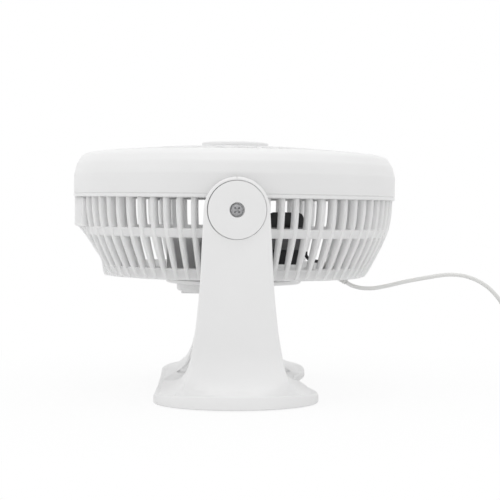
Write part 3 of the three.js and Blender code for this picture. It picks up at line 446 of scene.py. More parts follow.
# ---- the mains lead
STUB_ROUTE = [
    (84.2, 79.6), (86.6, 78.1), (89.6, 76.8), (94.5, 75.5), (99.8, 75.1), (104.5, 75.2),
    (109.4, 75.9),
]
FREE_ROUTE = [
    (117.3, 77.5), (127, 79.8), (136.8, 81.7), (146.6, 83.4), (155.5, 84.8), (163.3, 85.3),
    (172.7, 84.4), (181.6, 81.5), (189.8, 76.8), (196.7, 70.4), (202.3, 62.7), (206.8, 52),
    (210.9, 36.5), (214.9, 22), (217.7, 15), (221.8, 9.6), (227.2, 5.5), (233.4, 2.9),
    (240, 2.1),
]
COIL_X, COIL_Y, COIL_OUTER, COIL_PITCH = 266, 36, 36, 3.9
TURNS_IN, CLIMB_TURNS, TURNS_OUT = 2.5, 0.5, 3.25
COIL_FLOOR, LAYER_RISE, CLIMB_TUCK = 1, 5.9, 1.5
PLUG_Y, PLUG_Z = 71, 7
BEND_ZONE = 105.2, 112.6  # the stretch between the head and the stand's cradle, given close points


def curve_through(points, per_span):
    """A Catmull-Rom curve through points, with a number of steps in each span."""
    points = [Vector(p) for p in points]
    ends = [2 * points[0] - points[1]] + points + [2 * points[-1] - points[-2]]
    made = []
    for i in range(1, len(ends) - 2):
        a, b, c, d = ends[i - 1 : i + 3]
        for k in range(per_span):
            t = k / per_span
            square = (2 * a - 5 * b + 4 * c - d) * t**2
            cube = (3 * b - 3 * c + d - a) * t**3
            made.append(0.5 * (2 * b + (c - a) * t + square + cube))
    made.append(points[-1])
    return made


def cord_route():
    """Points of the lead's middle with the lay of its wide side: 90 is flat, 0 on edge."""
    held = curve_through([(x, 0, z) for x, z in STUB_ROUTE], 10)
    loose = curve_through([(x, 0, z) for x, z in STUB_ROUTE[-1:] + FREE_ROUTE], 5)
    route = [(p, 90) for p in held[:-1] + loose]
    low = COIL_FLOOR + CORD_WIDE / 2
    for x, z, lay in ((244, 2.1, 72), (249, 2.35, 45), (255, 3, 20), (260.5, low, 4)):
        route.append((Vector((x, 0, z)), lay))
    steps = 32
    inner = COIL_OUTER - COIL_PITCH * TURNS_IN
    for step in range(int((TURNS_IN + CLIMB_TURNS + TURNS_OUT) * steps) + 1):
        turn = step / steps
        climb = min(max((turn - TURNS_IN) / CLIMB_TURNS, 0), 1)
        r = COIL_OUTER - COIL_PITCH * turn
        if turn >= TURNS_IN:
            out = max(0, turn - TURNS_IN - CLIMB_TURNS)
            r = inner + COIL_PITCH * out - CLIMB_TUCK * sin(pi * climb)
        angle = 2 * pi * turn - pi / 2
        z = low + LAYER_RISE * climb * climb * (3 - 2 * climb)
        at = Vector((COIL_X + r * cos(angle), COIL_Y + r * sin(angle), z))
        route.append((at, 0))
    last_x = route[-1][0].x
    top = low + LAYER_RISE
    to_plug = [
        (44, top - 0.3), (52, top - 1.2), (60, PLUG_Z + 0.5), (66, PLUG_Z), (PLUG_Y, PLUG_Z),
    ]
    route += [(Vector((last_x, y, z)), 0) for y, z in to_plug]
    return route


def denser(route, low, high, step):
    """The same route with close points where x lies between low and high, from the head to the
    stand's cradle.
    """
    made = []
    for (a, lay), (b, _) in zip(route, route[1:]):
        count = max(1, round((b - a).length / step)) if low < a.x < high else 1
        made += [(a.lerp(b, k / count), lay) for k in range(count)]
    return made + [route[-1]]


def twin_section():
    """A flat twin lead: two round cores in one skin, with a shallow groove between them."""
    points, groove_deep, groove_wide = 20, 0.22, 0.7
    made = []
    core = CORD_THICK / 2
    for k in range(points):
        angle = 2 * pi * (k + 0.5) / points
        wide = (CORD_WIDE / 2) * cos(angle)
        groove = groove_deep * math.exp(-((wide / groove_wide) ** 2))
        flat = abs(sin(angle)) ** 0.8
        made.append((wide, math.copysign(core * flat - groove * flat, sin(angle))))
    return made


def build_cord():
    route = cord_route()
    line = denser(route, *BEND_ZONE, 0.13)
    middle = [at for at, _ in line]
    section = twin_section()
    rings = []
    for i, (at, lay) in enumerate(line):
        along = heading(middle, i)
        level = Vector((0, 0, 1)).cross(along).normalized()
        upright = along.cross(level)
        wide = upright * cos(radians(lay)) + level * sin(radians(lay))
        thick = along.cross(wide)
        rings.append([at + wide * w + thick * t for w, t in section])
    cord = new_object("mains_cord", [loft(rings)], sharp=60)
    cord.data.materials.append(cord_plastic)
    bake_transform(cord)
    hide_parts("cord_stub", "cord_free", "cord_coil")
    plug = build_plug(route[-1][0])


def rounded_box_ring(half_w, half_h, corner, y, steps=5):
    corners = [(half_w * i, half_h * j, corner) for i, j in QUADRANTS]
    return [(x, y, z) for x, z in fillet(corners, steps)]


def build_plug(end):
    """A flat two-pin plug that lies beside the coil."""
    rows = [
        (0.3, 4.2, 3.6, 2.6), (1.2, 5.1, 4.1, 3.2), (4, 6.1, 4.5, 3.4), (9, 8.6, 5.3, 3.8),
        (13, 10.4, 5.8, 4), (17, 12.1, 6.3, 4.2), (20.5, 12.9, 6.65, 4.3), (33.6, 12.9, 6.65, 4.3),
        (34.7, 12.4, 6.1, 3.8), (35.3, 11.2, 5.0, 3.2),
    ]
    body = loft([rounded_box_ring(w, h, r, y) for y, w, h, r in rows])
    seam = loft([rounded_box_ring(w + 0.08, 0.18, 0.1, y) for y, w, _, _ in rows[1:8]])
    # ribs across the grip, then two pins, half of each in a sleeve
    grip_y, rib_pitch, rib_long = 21.5, 2.1, 1.1
    ribs = []
    for k in range(5):
        y = grip_y + rib_pitch * k
        ribs.append(loft([rounded_box_ring(9.2, 6.95, 3, y + d, 3) for d in (0, rib_long)]))
    shell = new_object("plug_shell", [body, seam] + ribs, moved(end))
    made = [dress(shell, "stand", plug_plastic, "plug_body")]
    pin_x, pin_r, sleeve_r = 9.3, 2, 2.06
    pin = [(0, 29.7), (pin_r, 29.7), (pin_r, 53.3, 1.4), (0, 54.3)]
    sleeve = [(0, 30), (sleeve_r, 30), (sleeve_r, 44), (0, 44)]
    for side, node in ((-1, "plug_pin_left"), (1, "plug_pin_right")):
        shift = moved(end + Vector((pin_x * side, 0, 0)))
        bar = turned(node + "_turned", pin, 4, 28, shift, 40, 1)
        made.append(dress(bar, "stand", steel, node))
        collar = turned(node + "_sleeve", sleeve, 4, 28, shift, 40, 1)
        made.append(dress(collar, "stand", plug_plastic))
    return made


SLEEVE_TIP = Vector((84.7, 0, -53.1))
SLEEVE_LEAN = 128.5  # degrees from +Z towards +X
SLEEVE_LENGTH = 21


def build_sleeve():
    """The strain relief: an oval cone with ribs, leaning out of the rear face."""
    profile = [(0, -SLEEVE_LENGTH), (4.9, -SLEEVE_LENGTH), (4.7, -9)]
    rib_z, rib_pitch, rib_r, taper = -7.6, 1.9, 4.55, 0.36
    for k in range(4):
        z = rib_z + rib_pitch * k
        r = rib_r - taper * k
        profile += [(r, z - 0.4), (r, z + 0.5), (r - 0.65, z + 0.75), (r - 0.75, z + 1.3)]
    profile += [(3.2, -0.2), (2.9, 0), (0, 0)]
    squeeze = Matrix.Diagonal((0.74, 1, 1, 1))
    lean = Matrix.Rotation(radians(SLEEVE_LEAN), 4, "Y")
    place = HEAD @ moved(SLEEVE_TIP) @ lean @ squeeze
    sleeve = new_object("cord_sleeve_ribbed", [lathe(profile, 40)], place, 50)
    dress(sleeve, "head", cord_plastic, "cord_sleeve")


softened("cord_tie", 0.25, black_plastic, "stand")
build_sleeve()
build_cord()


# ---- stand
# Half width of an arm, and how far out its foot's outer face is, each with the height.
ARM_FLARE = [
    (56, 5.2), (53.4, 6.4), (44.4, 9.6), (39.5, 12.6), (36.6, 16.5), (34, 22), (32, 29),
    (29.8, 41), (28.2, 50), (25.5, 74), (24.2, 92), (23.1, 114), (ARM_BOSS_R, PIVOT_Z),
]
ARM_LEAN = [
    (131, 9), (130.5, 10), (126.5, 12.2), (122.5, 17), (119.6, 24), (118, 35), (121.2, 54.8),
]
WAIST_Y, WAIST_Z = 118, 35  # the outer face is straight from here to the pivot


def curve_of(table):
    """Reads a table of (value, height) as a smooth function of height."""

    def value(z):
        if z <= table[0][1]:
            return table[0][0]
        for i in range(len(table) - 1):
            (v0, z0), (v1, z1) = table[i], table[i + 1]
            if z <= z1:
                break
        else:
            return v1 + (v1 - v0) * (z - z1) / (z1 - z0)
        before = table[max(i - 1, 0)]
        after = table[min(i + 2, len(table) - 1)]
        span = z1 - z0
        m0 = (v1 - before[0]) / (z1 - before[1]) * span
        m1 = (after[0] - v0) / (after[1] - z0) * span
        t = (z - z0) / span
        return (
            (2 * t**3 - 3 * t**2 + 1) * v0
            + (t**3 - 2 * t**2 + t) * m0
            + (3 * t**2 - 2 * t**3) * v1
            + (t**3 - t**2) * m1
        )

    return value


flare_at = curve_of(ARM_FLARE)
lean_at = curve_of(ARM_LEAN)
LOBE_HALF_X, LOBE_Y, BASE_HALF_Y = 57.4, 82, 131
WAIST_FRONT, WAIST_BACK = 45, 56.6
BASE_TOP, BASE_END_TOP = 6.5, 10.5
FOOT_LIFT = 0.9
ROOT_TOP = 26  # below this height an arm is kept over the base
COVER_BOTTOM, COVER_TOP = 9.4, 108.1
COVER_INSET, COVER_SUNK, COVER_THICK = 2.8, 0.15, 2.2
QUARTER = (0, 0.39, 0.79, 1.18, 1.57)  # angles round a rounded edge


def inner_at(z):
    """How far the arm's inner face is from the middle at a height."""
    drop = max(PIVOT_Z - z, 0)
    return min(ARM_INNER_Y, sqrt(max(CRADLE_R**2 - drop**2, 16)))


def arm_levels(bottom, top, inset=0):
    """Half width, height and outward normal up one side of an arm seen from outside."""
    heights = [5, 5.8, 6.55, 6.8, 7.2, 7.8, 8.5, 9.4, 10.4, 11.6, 13, 14.6, 16.4, 18.6, 21]
    heights += [23.6, 26.5, 30, 34] + [38 + 6 * k for k in range(16)] + [131]
    levels = []
    for z in [h for h in heights if bottom < h < top]:
        slope = (flare_at(z + 0.2) - flare_at(z - 0.2)) / 0.4
        normal = Vector((1, -slope)).normalized()
        levels.append((flare_at(z), z, normal.x, normal.y))
    if top > PIVOT_Z:
        for k in range(19):
            angle = radians(89.4 * k / 18)
            high = PIVOT_Z + ARM_BOSS_R * sin(angle)
            levels.append((ARM_BOSS_R * cos(angle), high, cos(angle), sin(angle)))
    else:
        ends = [(flare_at(z), z, 1, 0) for z in (bottom, top)]
        levels = [ends[0]] + levels + [ends[1]]
    return [(w - inset * nx, z, nx, nz) for w, z, nx, nz in levels]


def edge_at(x, y, inset=0.0):
    """The base's half width on the side of x, between its two round ends."""
    if x < 0:
        return LOBE_HALF_X + (WAIST_BACK - LOBE_HALF_X) * (1 - (y / LOBE_Y) ** 2) - inset
    share = (1 + cos(pi * y / LOBE_Y)) / 2
    return LOBE_HALF_X + (WAIST_FRONT - LOBE_HALF_X) * share**1.12 - inset


def into_lobe(x, y):
    """Keeps a point of the arm's root over the base."""
    inset = 0.5
    beyond = abs(y) - LOBE_Y
    if beyond <= 0:
        edge = edge_at(x, y, inset)
        return max(-edge, min(edge, x)), y
    out = math.hypot(x / (LOBE_HALF_X - inset), beyond / (BASE_HALF_Y - LOBE_Y - inset))
    if out <= 1:
        return x, y
    return x / out, math.copysign(LOBE_Y + beyond / out, y)


def between(a, b):
    """The points between two points."""
    steps = 8
    return [tuple(u + (v - u) * k / steps for u, v in zip(a, b)) for k in range(1, steps)]


def wall_rings(levels, side, near, far, edge):
    """Level rings of an upright wall between two faces, with its four long edges rounded."""
    arc = [(edge * (1 - sin(a)), edge * (1 - cos(a))) for a in QUARTER]
    rings = []
    for w, z, nx, nz in levels:

        def at(inset, depth, from_far):
            height = z - inset * nz
            y = far(height) - depth if from_far else near(height) + depth
            return max(w - inset * nx, 0.02), y, height

        right = [at(d, e, True) for d, e in arc]
        x, _, height = right[-1]
        right += between(right[-1], (x, at(0, edge, False)[1], height))
        right += [at(d, e, False) for d, e in reversed(arc)]
        left = [(-x, y, h) for x, y, h in reversed(right)]
        ring = []
        for x, y, h in right + between(right[-1], left[0]) + left + between(left[-1], right[0]):
            if h < ROOT_TOP:
                x, y = into_lobe(x, y)
            ring.append((x, side * y, h))
        rings.append(ring)
    return rings


def outer_at(z):
    """How far the arm's outer face is from the middle at a height."""
    if z < 50:
        return lean_at(z)
    rise = (z - WAIST_Z) * (ARM_OUTER_Y - WAIST_Y) / (PIVOT_Z - WAIST_Z)
    return min(ARM_OUTER_Y, WAIST_Y + rise)


def cover_part(side, play):
    """The panel inside an arm, or with some play the cutter for its seat."""

    def near(z):
        return inner_at(z) + COVER_SUNK - play * 8

    def far(z):
        return inner_at(z) + COVER_THICK + play

    levels = arm_levels(COVER_BOTTOM - play, COVER_TOP + play, COVER_INSET - play)
    return loft(wall_rings(levels, side, near, far, 0.05 if play else 0.45))


def base_outline(count):
    """The base seen from above, point by point, with outward normals."""
    points = []
    for k in range(count):
        angle = 2 * pi * k / count
        s, c = sin(angle), cos(angle)
        y = math.copysign(BASE_HALF_Y * abs(s) ** 0.86, s)
        if abs(y) > LOBE_Y:
            beyond = (abs(y) - LOBE_Y) / (BASE_HALF_Y - LOBE_Y)
            across = LOBE_HALF_X * sqrt(max(0, 1 - beyond**2))
        else:
            across = edge_at(c, y)
        points.append(Vector((math.copysign(across, c), y)))
    made = []
    for k, p in enumerate(points):
        along = points[(k + 1) % count] - points[k - 1]
        made.append((p, Vector((along.y, -along.x)).normalized()))
    return made


def base_top(y):
    return BASE_TOP + (BASE_END_TOP - BASE_TOP) * max(0, abs(y) - LOBE_Y) / (BASE_HALF_Y - LOBE_Y)


def base_part():
    """The base's shell, open underneath, in rings from its ceiling out and over its top."""
    outline = base_outline(200)
    edge, wall, ceiling = 1.3, 2.5, 3.6

    def level(z):
        return lambda y: z

    def ring(t, inset, height):
        """The outline moved in by an inset and shrunk by a share onto the base's middle."""
        made = []
        for p, n in outline:
            q = p - n * inset
            y = q.y
            if abs(y) > LOBE_Y:
                y = math.copysign(LOBE_Y + (abs(y) - LOBE_Y) * (1 - t), y)
            made.append((q.x * (1 - t), y, height(y)))
        return made

    rings = [ring(t, wall, level(ceiling)) for t in (1, 0.5, 0)]
    rings += [ring(0, inset, level(FOOT_LIFT)) for inset in (wall, 0.5)]
    rings.append(ring(0, 0, level(FOOT_LIFT + 0.5)))
    for a in reversed(QUARTER):
        inset, drop = edge * (1 - sin(a)), edge * (1 - cos(a))
        rings.append(ring(0, inset, lambda y, drop=drop: base_top(y) - drop))
    rings += [ring(t, edge, base_top) for t in (0.15, 0.4, 0.7, 1)]
    verts, faces = loft(rings)
    return verts, faces[:-2]


def build_stand():
    arms = []
    for side, _ in SIDES:
        rings = wall_rings(arm_levels(4, 170), side, inner_at, outer_at, 1.5)
        arm = new_object("arm", [loft(rings)])
        # the pin's hole and the cap's recess, its mouth eased
        bore = PIN_R + 0.3
        hole = [
            (0, 90), (bore, 90), (bore, CAP_SEAT_Y), (19.75, CAP_SEAT_Y), (19.75, 133.55),
            (20.2, 134.05), (20.2, 150), (0, 150),
        ]
        carve(arm, along_y(lathe(hole, 96), side, PIVOT_Z))
        carve(arm, cover_part(side, 0.3))
        arms.append(arm)
    shell = new_object("stand_skin", [base_part()])
    bpy.ops.object.select_all(action="DESELECT")
    for arm in arms + [shell]:
        arm.select_set(True)
    bpy.context.view_layer.objects.active = shell
    bpy.ops.object.join()
    shell.data.set_sharp_from_angle(angle=radians(40))
    dress(shell, "stand", white_plastic, "stand_shell")
    for side, name in SIDES:
        cover = new_object("arm_panel_" + name, [cover_part(side, 0)])
        dress(cover, "stand", white_plastic, "arm_cover_" + name)


build_stand()
softened("base_plate", 0.4, grey_plastic, "stand")
for corner in ("rear_left", "rear_right", "front_left", "front_right"):
    low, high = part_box("foot_" + corner)
    mid = (low + high) / 2 / MM
    pad = [(0, 0), (7.7, 0, 0.3), (8, FOOT_LIFT), (0, FOOT_LIFT)]
    foot = turned("foot_pad_" + corner, pad, 3, 40, moved((mid.x, mid.y, 0)), 40)
    dress(foot, "stand", foot_rubber, "foot_" + corner)


# ---- head: rims and grilles
# Profiles of (radius, height), with the rounding of a corner as a third number.
FRONT_RING = [
    (118.1, 8.35, 0.2), (HEAD_R, 8.35, 0.5), (HEAD_R, 10.55, 0.12), (118.95, 10.8), (118.95, 11),
    (HEAD_R, 11.25, 0.12), (HEAD_R, 25, 9), (117.5, 33, 9), (113.4, 39.4, 7), (107.5, 41.5, 12),
    (98.3, 42.2, 0.6), (97.9, 41.8), (97.9, 39.1), (DUCT_R, 39.1, 0.4), (DUCT_R, 14, 0.8),
    (97.8, 14), (97.8, 36.8), (108.5, 36.8), (116.8, 25), (116.8, 11.6), (118.1, 11.6),
]
PLATE = [
    (0, 44.9), (19.2, 44.9), (19.2, 47.6), (24.9, 47.6, 0.3), (24.9, 50.0, 1.1), (20, 50.8, 12),
    (0, 50.8),
]
REAR_COVER = [(0, -51.9), (50.5, -51.9), (50.5, -53.6, 0.9), (49.0, -54.5, 1.2), (0, -54.5)]


def rib_section(width, thick):
    """A rib's section as (across, outwards): rounded outside, nearly square inside."""
    half = width / 2
    corners = [(half, -thick, 0.35), (half, 0, 1.1), (-half, 0, 1.1), (-half, -thick, 0.35)]
    return fillet(corners, 3)


def dome_at(r):
    """Height of the front grille's outside at a radius: flat in the middle, then falling."""
    middle, drop, flat_r, width = 47.3, 4.75, 20, 74
    return middle - drop * max(0, (r - flat_r) / width) ** 1.5


def build_front_grille():
    long_r, short_r, outer_r, rim_r = 27, 57.5, 95.6, 97.6
    steps = 18
    section = rib_section(2.4, 2.6)
    parts = []
    for k in range(FRONT_RIBS):
        start = short_r if k % 2 else long_r
        rings = []
        for i in range(steps + 1):
            r = outer_r + (start - outer_r) * i / steps
            angle = radians(360 * k / FRONT_RIBS + FRONT_SWIRL * (1 - r / rim_r))
            turn = -radians(FRONT_SWIRL) * r / rim_r
            out = Vector((cos(angle), sin(angle), 0))
            side = Vector((-sin(angle), cos(angle), 0))
            along = (out + side * turn).normalized()
            across = Vector((-along.y, along.x, 0))
            at = out * r + Vector((0, 0, dome_at(r)))
            rings.append([at + across * a + Vector((0, 0, b)) for a, b in section])
        parts.append(loft(rings))
    # the bands round the rim, between the long and short ribs, and round the middle
    for centre, half in ((95.5, 2), (58.2, 1.8), (24.5, 4.2)):
        top = dome_at(centre) + 0.15
        low = top - 2.7
        band = [
            (centre - half, low, 0.3), (centre + half, low, 0.3), (centre + half, top, 0.9),
            (centre - half, top, 0.9),
        ]
        parts.append(lathe(fillet(band, 3), 160))
    dress(united("front_guard", parts, 50), "head", grille_plastic, "front_grille")


# The rear grille's outside from the lip down to the rear face, as (radius, height).
REAR_LINE = [
    (117.85, 9.6), (117.8, 8), (117.6, 2.8), (117.3, -2.4), (116.6, -7.7), (115.5, -13),
    (114.5, -16.2), (113.3, -19.2), (111, -24.6), (108.3, -30.2), (105.4, -35.9), (102.4, -41.6),
    (100.6, -44.7), (98.8, -47.2), (97.9, -48.3),
]
# The finger recess's wall seen from the side, as (x, height).
RECESS_LINE = [
    (-118.4, -12.9), (-117, -13.4), (-114.4, -14.5), (-111.6, -16.4), (-108.6, -19.2),
    (-105.3, -23), (-102.5, -27), (-99.6, -31), (-97.1, -34.4), (-95.9, -37), (-95.5, -41),
    (-95.4, -45.5), (-94.9, -48.4), (-93.9, -50),
]
GRIP_R, GRIP_HALF_Y, GRIP_BOTTOM = 118.7, 45, -12.9


def line_at(line, z):
    """Reads the first number of a falling line of points at a height."""
    for (v0, z0), (v1, z1) in zip(line, line[1:]):
        if z >= z1:
            return v0 + (v1 - v0) * (z - z0) / (z1 - z0)
    return line[-1][0]


def rear_rib(angle):
    end_deep, most_deep, growth, end_z = 4.4, 6.9, 0.12, -41.3
    rings = []
    for i, (r, z) in enumerate(REAR_LINE):
        r0, z0 = REAR_LINE[max(i - 1, 0)]
        r1, z1 = REAR_LINE[min(i + 1, len(REAR_LINE) - 1)]
        slope = Vector((r1 - r0, z1 - z0)).normalized()
        if z < GRIP_BOTTOM and cos(angle) < 0:
            limit = line_at(RECESS_LINE, z)
            if r * cos(angle) < limit + 1:
                r = (limit + 1) / cos(angle)
        out = Vector((cos(angle), sin(angle), 0))
        side = Vector((-sin(angle), cos(angle), 0))
        width = 2 * r * sin(radians(RIB_HALF))
        thick = min(most_deep, end_deep + growth * (z - end_z))
        at = out * r + Vector((0, 0, z))
        push = out * -slope.y + Vector((0, 0, slope.x))
        rings.append([at + side * a + push * b for a, b in rib_section(width, thick)])
    return loft(rings)


def build_rear_grille():
    parts = [rear_rib(radians(RIB_TURN + 360 * k / RIBS)) for k in range(RIBS)]
    # the hoop behind the front ring's lip, the ring rib and the closed rear face
    hoop = [(105.5, 8), (117.6, 8), (116.4, 11.25), (105.5, 11.25)]
    parts.append(lathe(fillet([(r, z, 0.2) for r, z in hoop], 2), 144))
    sunk = 0.95
    band = [
        (115.5 - sunk, -13, 0.5), (113.3 - sunk, -19.2, 0.5), (106.6, -17.3, 0.3),
        (108.8, -12.3, 0.3),
    ]
    face = [
        (0, -51.8), (88, -49.1, 20), (96.5, -48.9, 2.6), (101.1, -41.3, 0.6), (99.4, -40.2, 0.5),
        (95.4, -45.7, 2), (0, -48.6),
    ]
    for profile, corner_steps, steps in ((band, 3, 144), (face, 6, 216)):
        verts, faces = lathe(fillet(profile, corner_steps), steps)
        parts.append((clear_of_recess(verts), faces))
    parts.append(recess_wall())
    parts.append(grip_tab())
    # the pad that the lead's sleeve comes out of
    pad = lathe(fillet([(0, -50.2), (9.5, -50.2, 1.5), (9.5, -45.8), (0, -45.8)], 4), 40)
    parts.append(placed(pad, moved((79, 0, 0))))
    dress(united("rear_guard", parts, 45), "head", grille_plastic, "rear_grille")


def clear_of_recess(verts):
    """Moves points that would stand in the finger recess back to its wall."""
    made = []
    for x, y, z in verts:
        if x < -60 and z < GRIP_BOTTOM:
            x = max(x, line_at(RECESS_LINE, z) + 0.9)
        made.append((x, y, z))
    return made


def recess_wall():
    """The scooped wall under the grip, from side to side of the grille."""
    half_wide, thick, floor = 56, 2.4, -50
    envelope = REAR_LINE + [(97.5, -48.8), (93, -50.1)]
    line = curve_through([(x, z, 0) for x, z in RECESS_LINE], 3)
    rings = []
    for i, (x, z, _) in enumerate(line):
        slope = heading(line, i)
        inward = Vector((-slope.y, slope.x))
        if inward.x < 0:
            inward = -inward
        reach = sqrt(max(line_at(envelope, max(z, floor)) ** 2 - x * x, 9)) - 0.3
        reach = min(reach, half_wide)
        ys = [reach * (-1 + 2 * k / 12) for k in range(13)]
        outer = [(x, y, z) for y in ys]
        inner = [(x + thick * inward.x, y, z + thick * inward.y) for y in reversed(ys)]
        rings.append(outer + inner)
    return loft(rings)


def grip_tab():
    """The flat tab that the hand holds, its lower edge rounded."""
    half = math.asin(GRIP_HALF_Y / GRIP_R)
    inner = GRIP_R - 6
    corners = [(inner, 8), (GRIP_R, 8), (GRIP_R, GRIP_BOTTOM, 1.2), (inner, GRIP_BOTTOM, 1.0)]
    section = fillet(corners, 4)
    steps = 28
    angles = [pi - half + 2 * half * k / steps for k in range(steps + 1)]
    return loft([[(r * cos(a), r * sin(a), z) for r, z in section] for a in angles])


dress(turned("front_rim", FRONT_RING, 6, 200), "head", rim_plastic, "front_ring")
build_front_grille()
dress(turned("front_disc", PLATE, 5, 120), "head", white_plastic, "grille_plate")
build_rear_grille()
dress(turned("rear_disc", REAR_COVER, 4, 120), "head", white_plastic, "rear_cover")


# ---- head: pivots
CAP_INNER_Y, CAP_OUTER_Y = 130.1, 134.9


def build_screw(side, name):
    """The screw in a pivot cap, its cross slot narrower at the bottom."""
    seat = CAP_INNER_Y + 2.1
    body = [
        (0, 114), (1.9, 114), (1.9, seat), (4.3, seat, 0.2), (4.3, seat + 1.1, 0.6),
        (2.6, seat + 1.9, 1.2), (0, seat + 2.05),
    ]
    screw = turned("cross_screw_" + name, body, 4, 48, side=side)
    levels = ((2.5, 0.5, 3), (2.5, 0.5, 2), (1.375, 0.4325, 0.5))
    slot = loft([[(a * i, b * j, seat + up) for i, j in QUADRANTS] for a, b, up in levels])
    for turn in (45, 135):
        carve(screw, along_y(about_z(slot, turn), side), HEAD)
    dress(screw, "head", dull_steel, "pivot_screw_" + name)


def bracket_pad(side):
    """The block behind a pin, its outer face on the circle inside the front ring."""
    wall_r, inner_y, steps = 117.6, 103, 8
    rows = []
    for z, half in ((-12.6, 14.2), (-11.8, 15), (6.8, 15), (7.6, 14.2)):
        xs = [-half + 2 * half * k / steps for k in range(steps + 1)]
        row = [(x, side * sqrt(wall_r**2 - x * x), z) for x in xs]
        rows.append(row + [(half, side * inner_y, z), (-half, side * inner_y, z)])
    return loft(rows)


def build_pivots():
    for side, name in SIDES:
        floor = CAP_INNER_Y + 1.8
        cap = [
            (2.3, CAP_INNER_Y), (19.4, CAP_INNER_Y, 0.3), (19.4, CAP_OUTER_Y - 1, 0.5),
            (12, CAP_OUTER_Y - 0.3, 40), (5.1, CAP_OUTER_Y, 0.35), (4.8, floor, 0.2), (2.3, floor),
        ]
        # pressed in a little off centre, as in the photograph
        press = HEAD @ moved((0.14, 0, 0.07))
        piece = turned("cap_" + name, cap, 4, 120, press, side=side)
        dress(piece, "head", cap_plastic, "pivot_cap_" + name)
        build_screw(side, name)

        pin = [(2.2, 112), (PIN_R, 112), (PIN_R, CAP_SEAT_Y, 0.4), (2.2, CAP_SEAT_Y)]
        flange = [(0, 119), (14.5, 119, 0.5), (14.5, 121.2, 0.5), (0, 121.2)]
        turns = ((pin, 64), (flange, 80))
        parts = [along_y(lathe(fillet(line, 3), steps), side) for line, steps in turns]
        bracket = new_object("pivot_block_" + name, parts + [bracket_pad(side)], HEAD)
        dress(bracket, "head", white_plastic, "pivot_bracket_" + name)

        bore = PIN_R + 0.3
        washer = [(bore, 121.5, 0.2), (15, 121.5, 0.3), (15, 122.5, 0.3), (bore, 122.5, 0.2)]
        raised = moved((0, 0, PIVOT_Z))
        piece = turned("washer_" + name, washer, 2, 64, raised, 40, side)
        dress(piece, "stand", black_plastic, "friction_washer_" + name)


build_pivots()


# ---- head: motor and switch
def build_coil():
    ends = ((-14.4, -0.8), (-13.6, 0), (13.6, 0), (14.4, -0.8))
    rows = [rounded_box_ring(12.3 + grow, 19 + grow, 6, y, 6) for y, grow in ends]
    coil = new_object("coil_winding", [loft(rows)], HEAD @ moved((38.5, 0, -20.55)))
    dress(coil, "head", winding, "motor_coil")


def build_inner_lead():
    """The flat lead from the coil to the rear face."""
    route = [
        (54.2, 0, -30.5), (54.4, 0, -33.6), (56.6, 0, -36.2), (60.2, 0, -37.4), (64, 0, -38),
        (67.3, 0, -39.6),
    ]
    half_wide, half_thick, count = 2.4, 1.25, 16
    angles = [2 * pi * k / count for k in range(count)]
    level = Vector((0, 1, 0))
    points = curve_through(route, 6)
    rings = []
    for i, at in enumerate(points):
        up = heading(points, i).cross(level)
        rings.append([at + level * half_wide * cos(a) + up * half_thick * sin(a) for a in angles])
    lead = new_object("inner_lead", [loft(rings)], HEAD, 60)
    dress(lead, "head", black_plastic, "motor_lead")


build_coil()
for rounding, material, nodes in (
    (0.35, laminations, ["motor_core"]),
    (0.2, black_plastic, ["coil_bobbin"]),
    (0.4, cast_metal, ["bearing_bar_front", "bearing_bar_rear"]),
    (0.8, pocket_plastic, ["switch_pocket"]),
    (0.3, black_plastic, ["rotary_switch"]),
    (0.3, grey_plastic, ["motor_post_near", "motor_post_far"]),
    (0.2, bronze, ["bearing_bush_front", "bearing_bush_rear"]),
    (0.25, steel, ["motor_bolt_near", "motor_bolt_far"]),
):
    for node in nodes:
        softened(node, rounding, material, "head")
build_inner_lead()
for body, kind, count in (("head", "ring", 3), ("head", "cover", 2), ("stand", "base", 4)):
    for number in range(1, count + 1):
        softened(f"{kind}_screw_{number}", 0.2, steel, body)


# ---- head: what turns
HUB_R, BLADE_R, BLADE_TOP = 19, 88, 35
SHAFT_R = 2.7  # room for the shaft in the parts on it


def blade_part():
    """One blade: a bent sheet that flattens on its way out to a round tip."""
    steps_r, steps_u = 26, 18
    half_turn, lean_root, lean_gain = 29, -16, 26  # in degrees
    middle, rise, rise_loss, crown, half_thick = 22.9, 9.5, 4.6, 3.2, 0.85
    tip_start = 0.78
    section = []
    for j in range(steps_u + 1):
        u = j / steps_u
        section.append((u, half_thick * (0.35 + 0.65 * sqrt(max(0, sin(pi * u))))))
    rings = []
    for i in range(steps_r + 1):
        t = i / steps_r
        r = HUB_R - 1 + t * (BLADE_R - HUB_R + 1)
        width = half_turn * (0.72 + 0.42 * sin(pi * (0.15 + 0.72 * t)))
        tip = max(0, (t - tip_start) / (1 - tip_start))
        width *= 1 - 0.3 * tip**2.4

        def sheet(u, offset):
            s = 2 * u - 1
            angle = radians(lean_root + lean_gain * t + s * width)
            z = middle + (rise - rise_loss * t) * s + crown * (1 - s * s) + offset
            return (r * cos(angle), r * sin(angle), z)

        top = [sheet(u, half) for u, half in section]
        low = [sheet(u, -half) for u, half in reversed(section)]
        rings.append(top + low)
    return loft(rings)


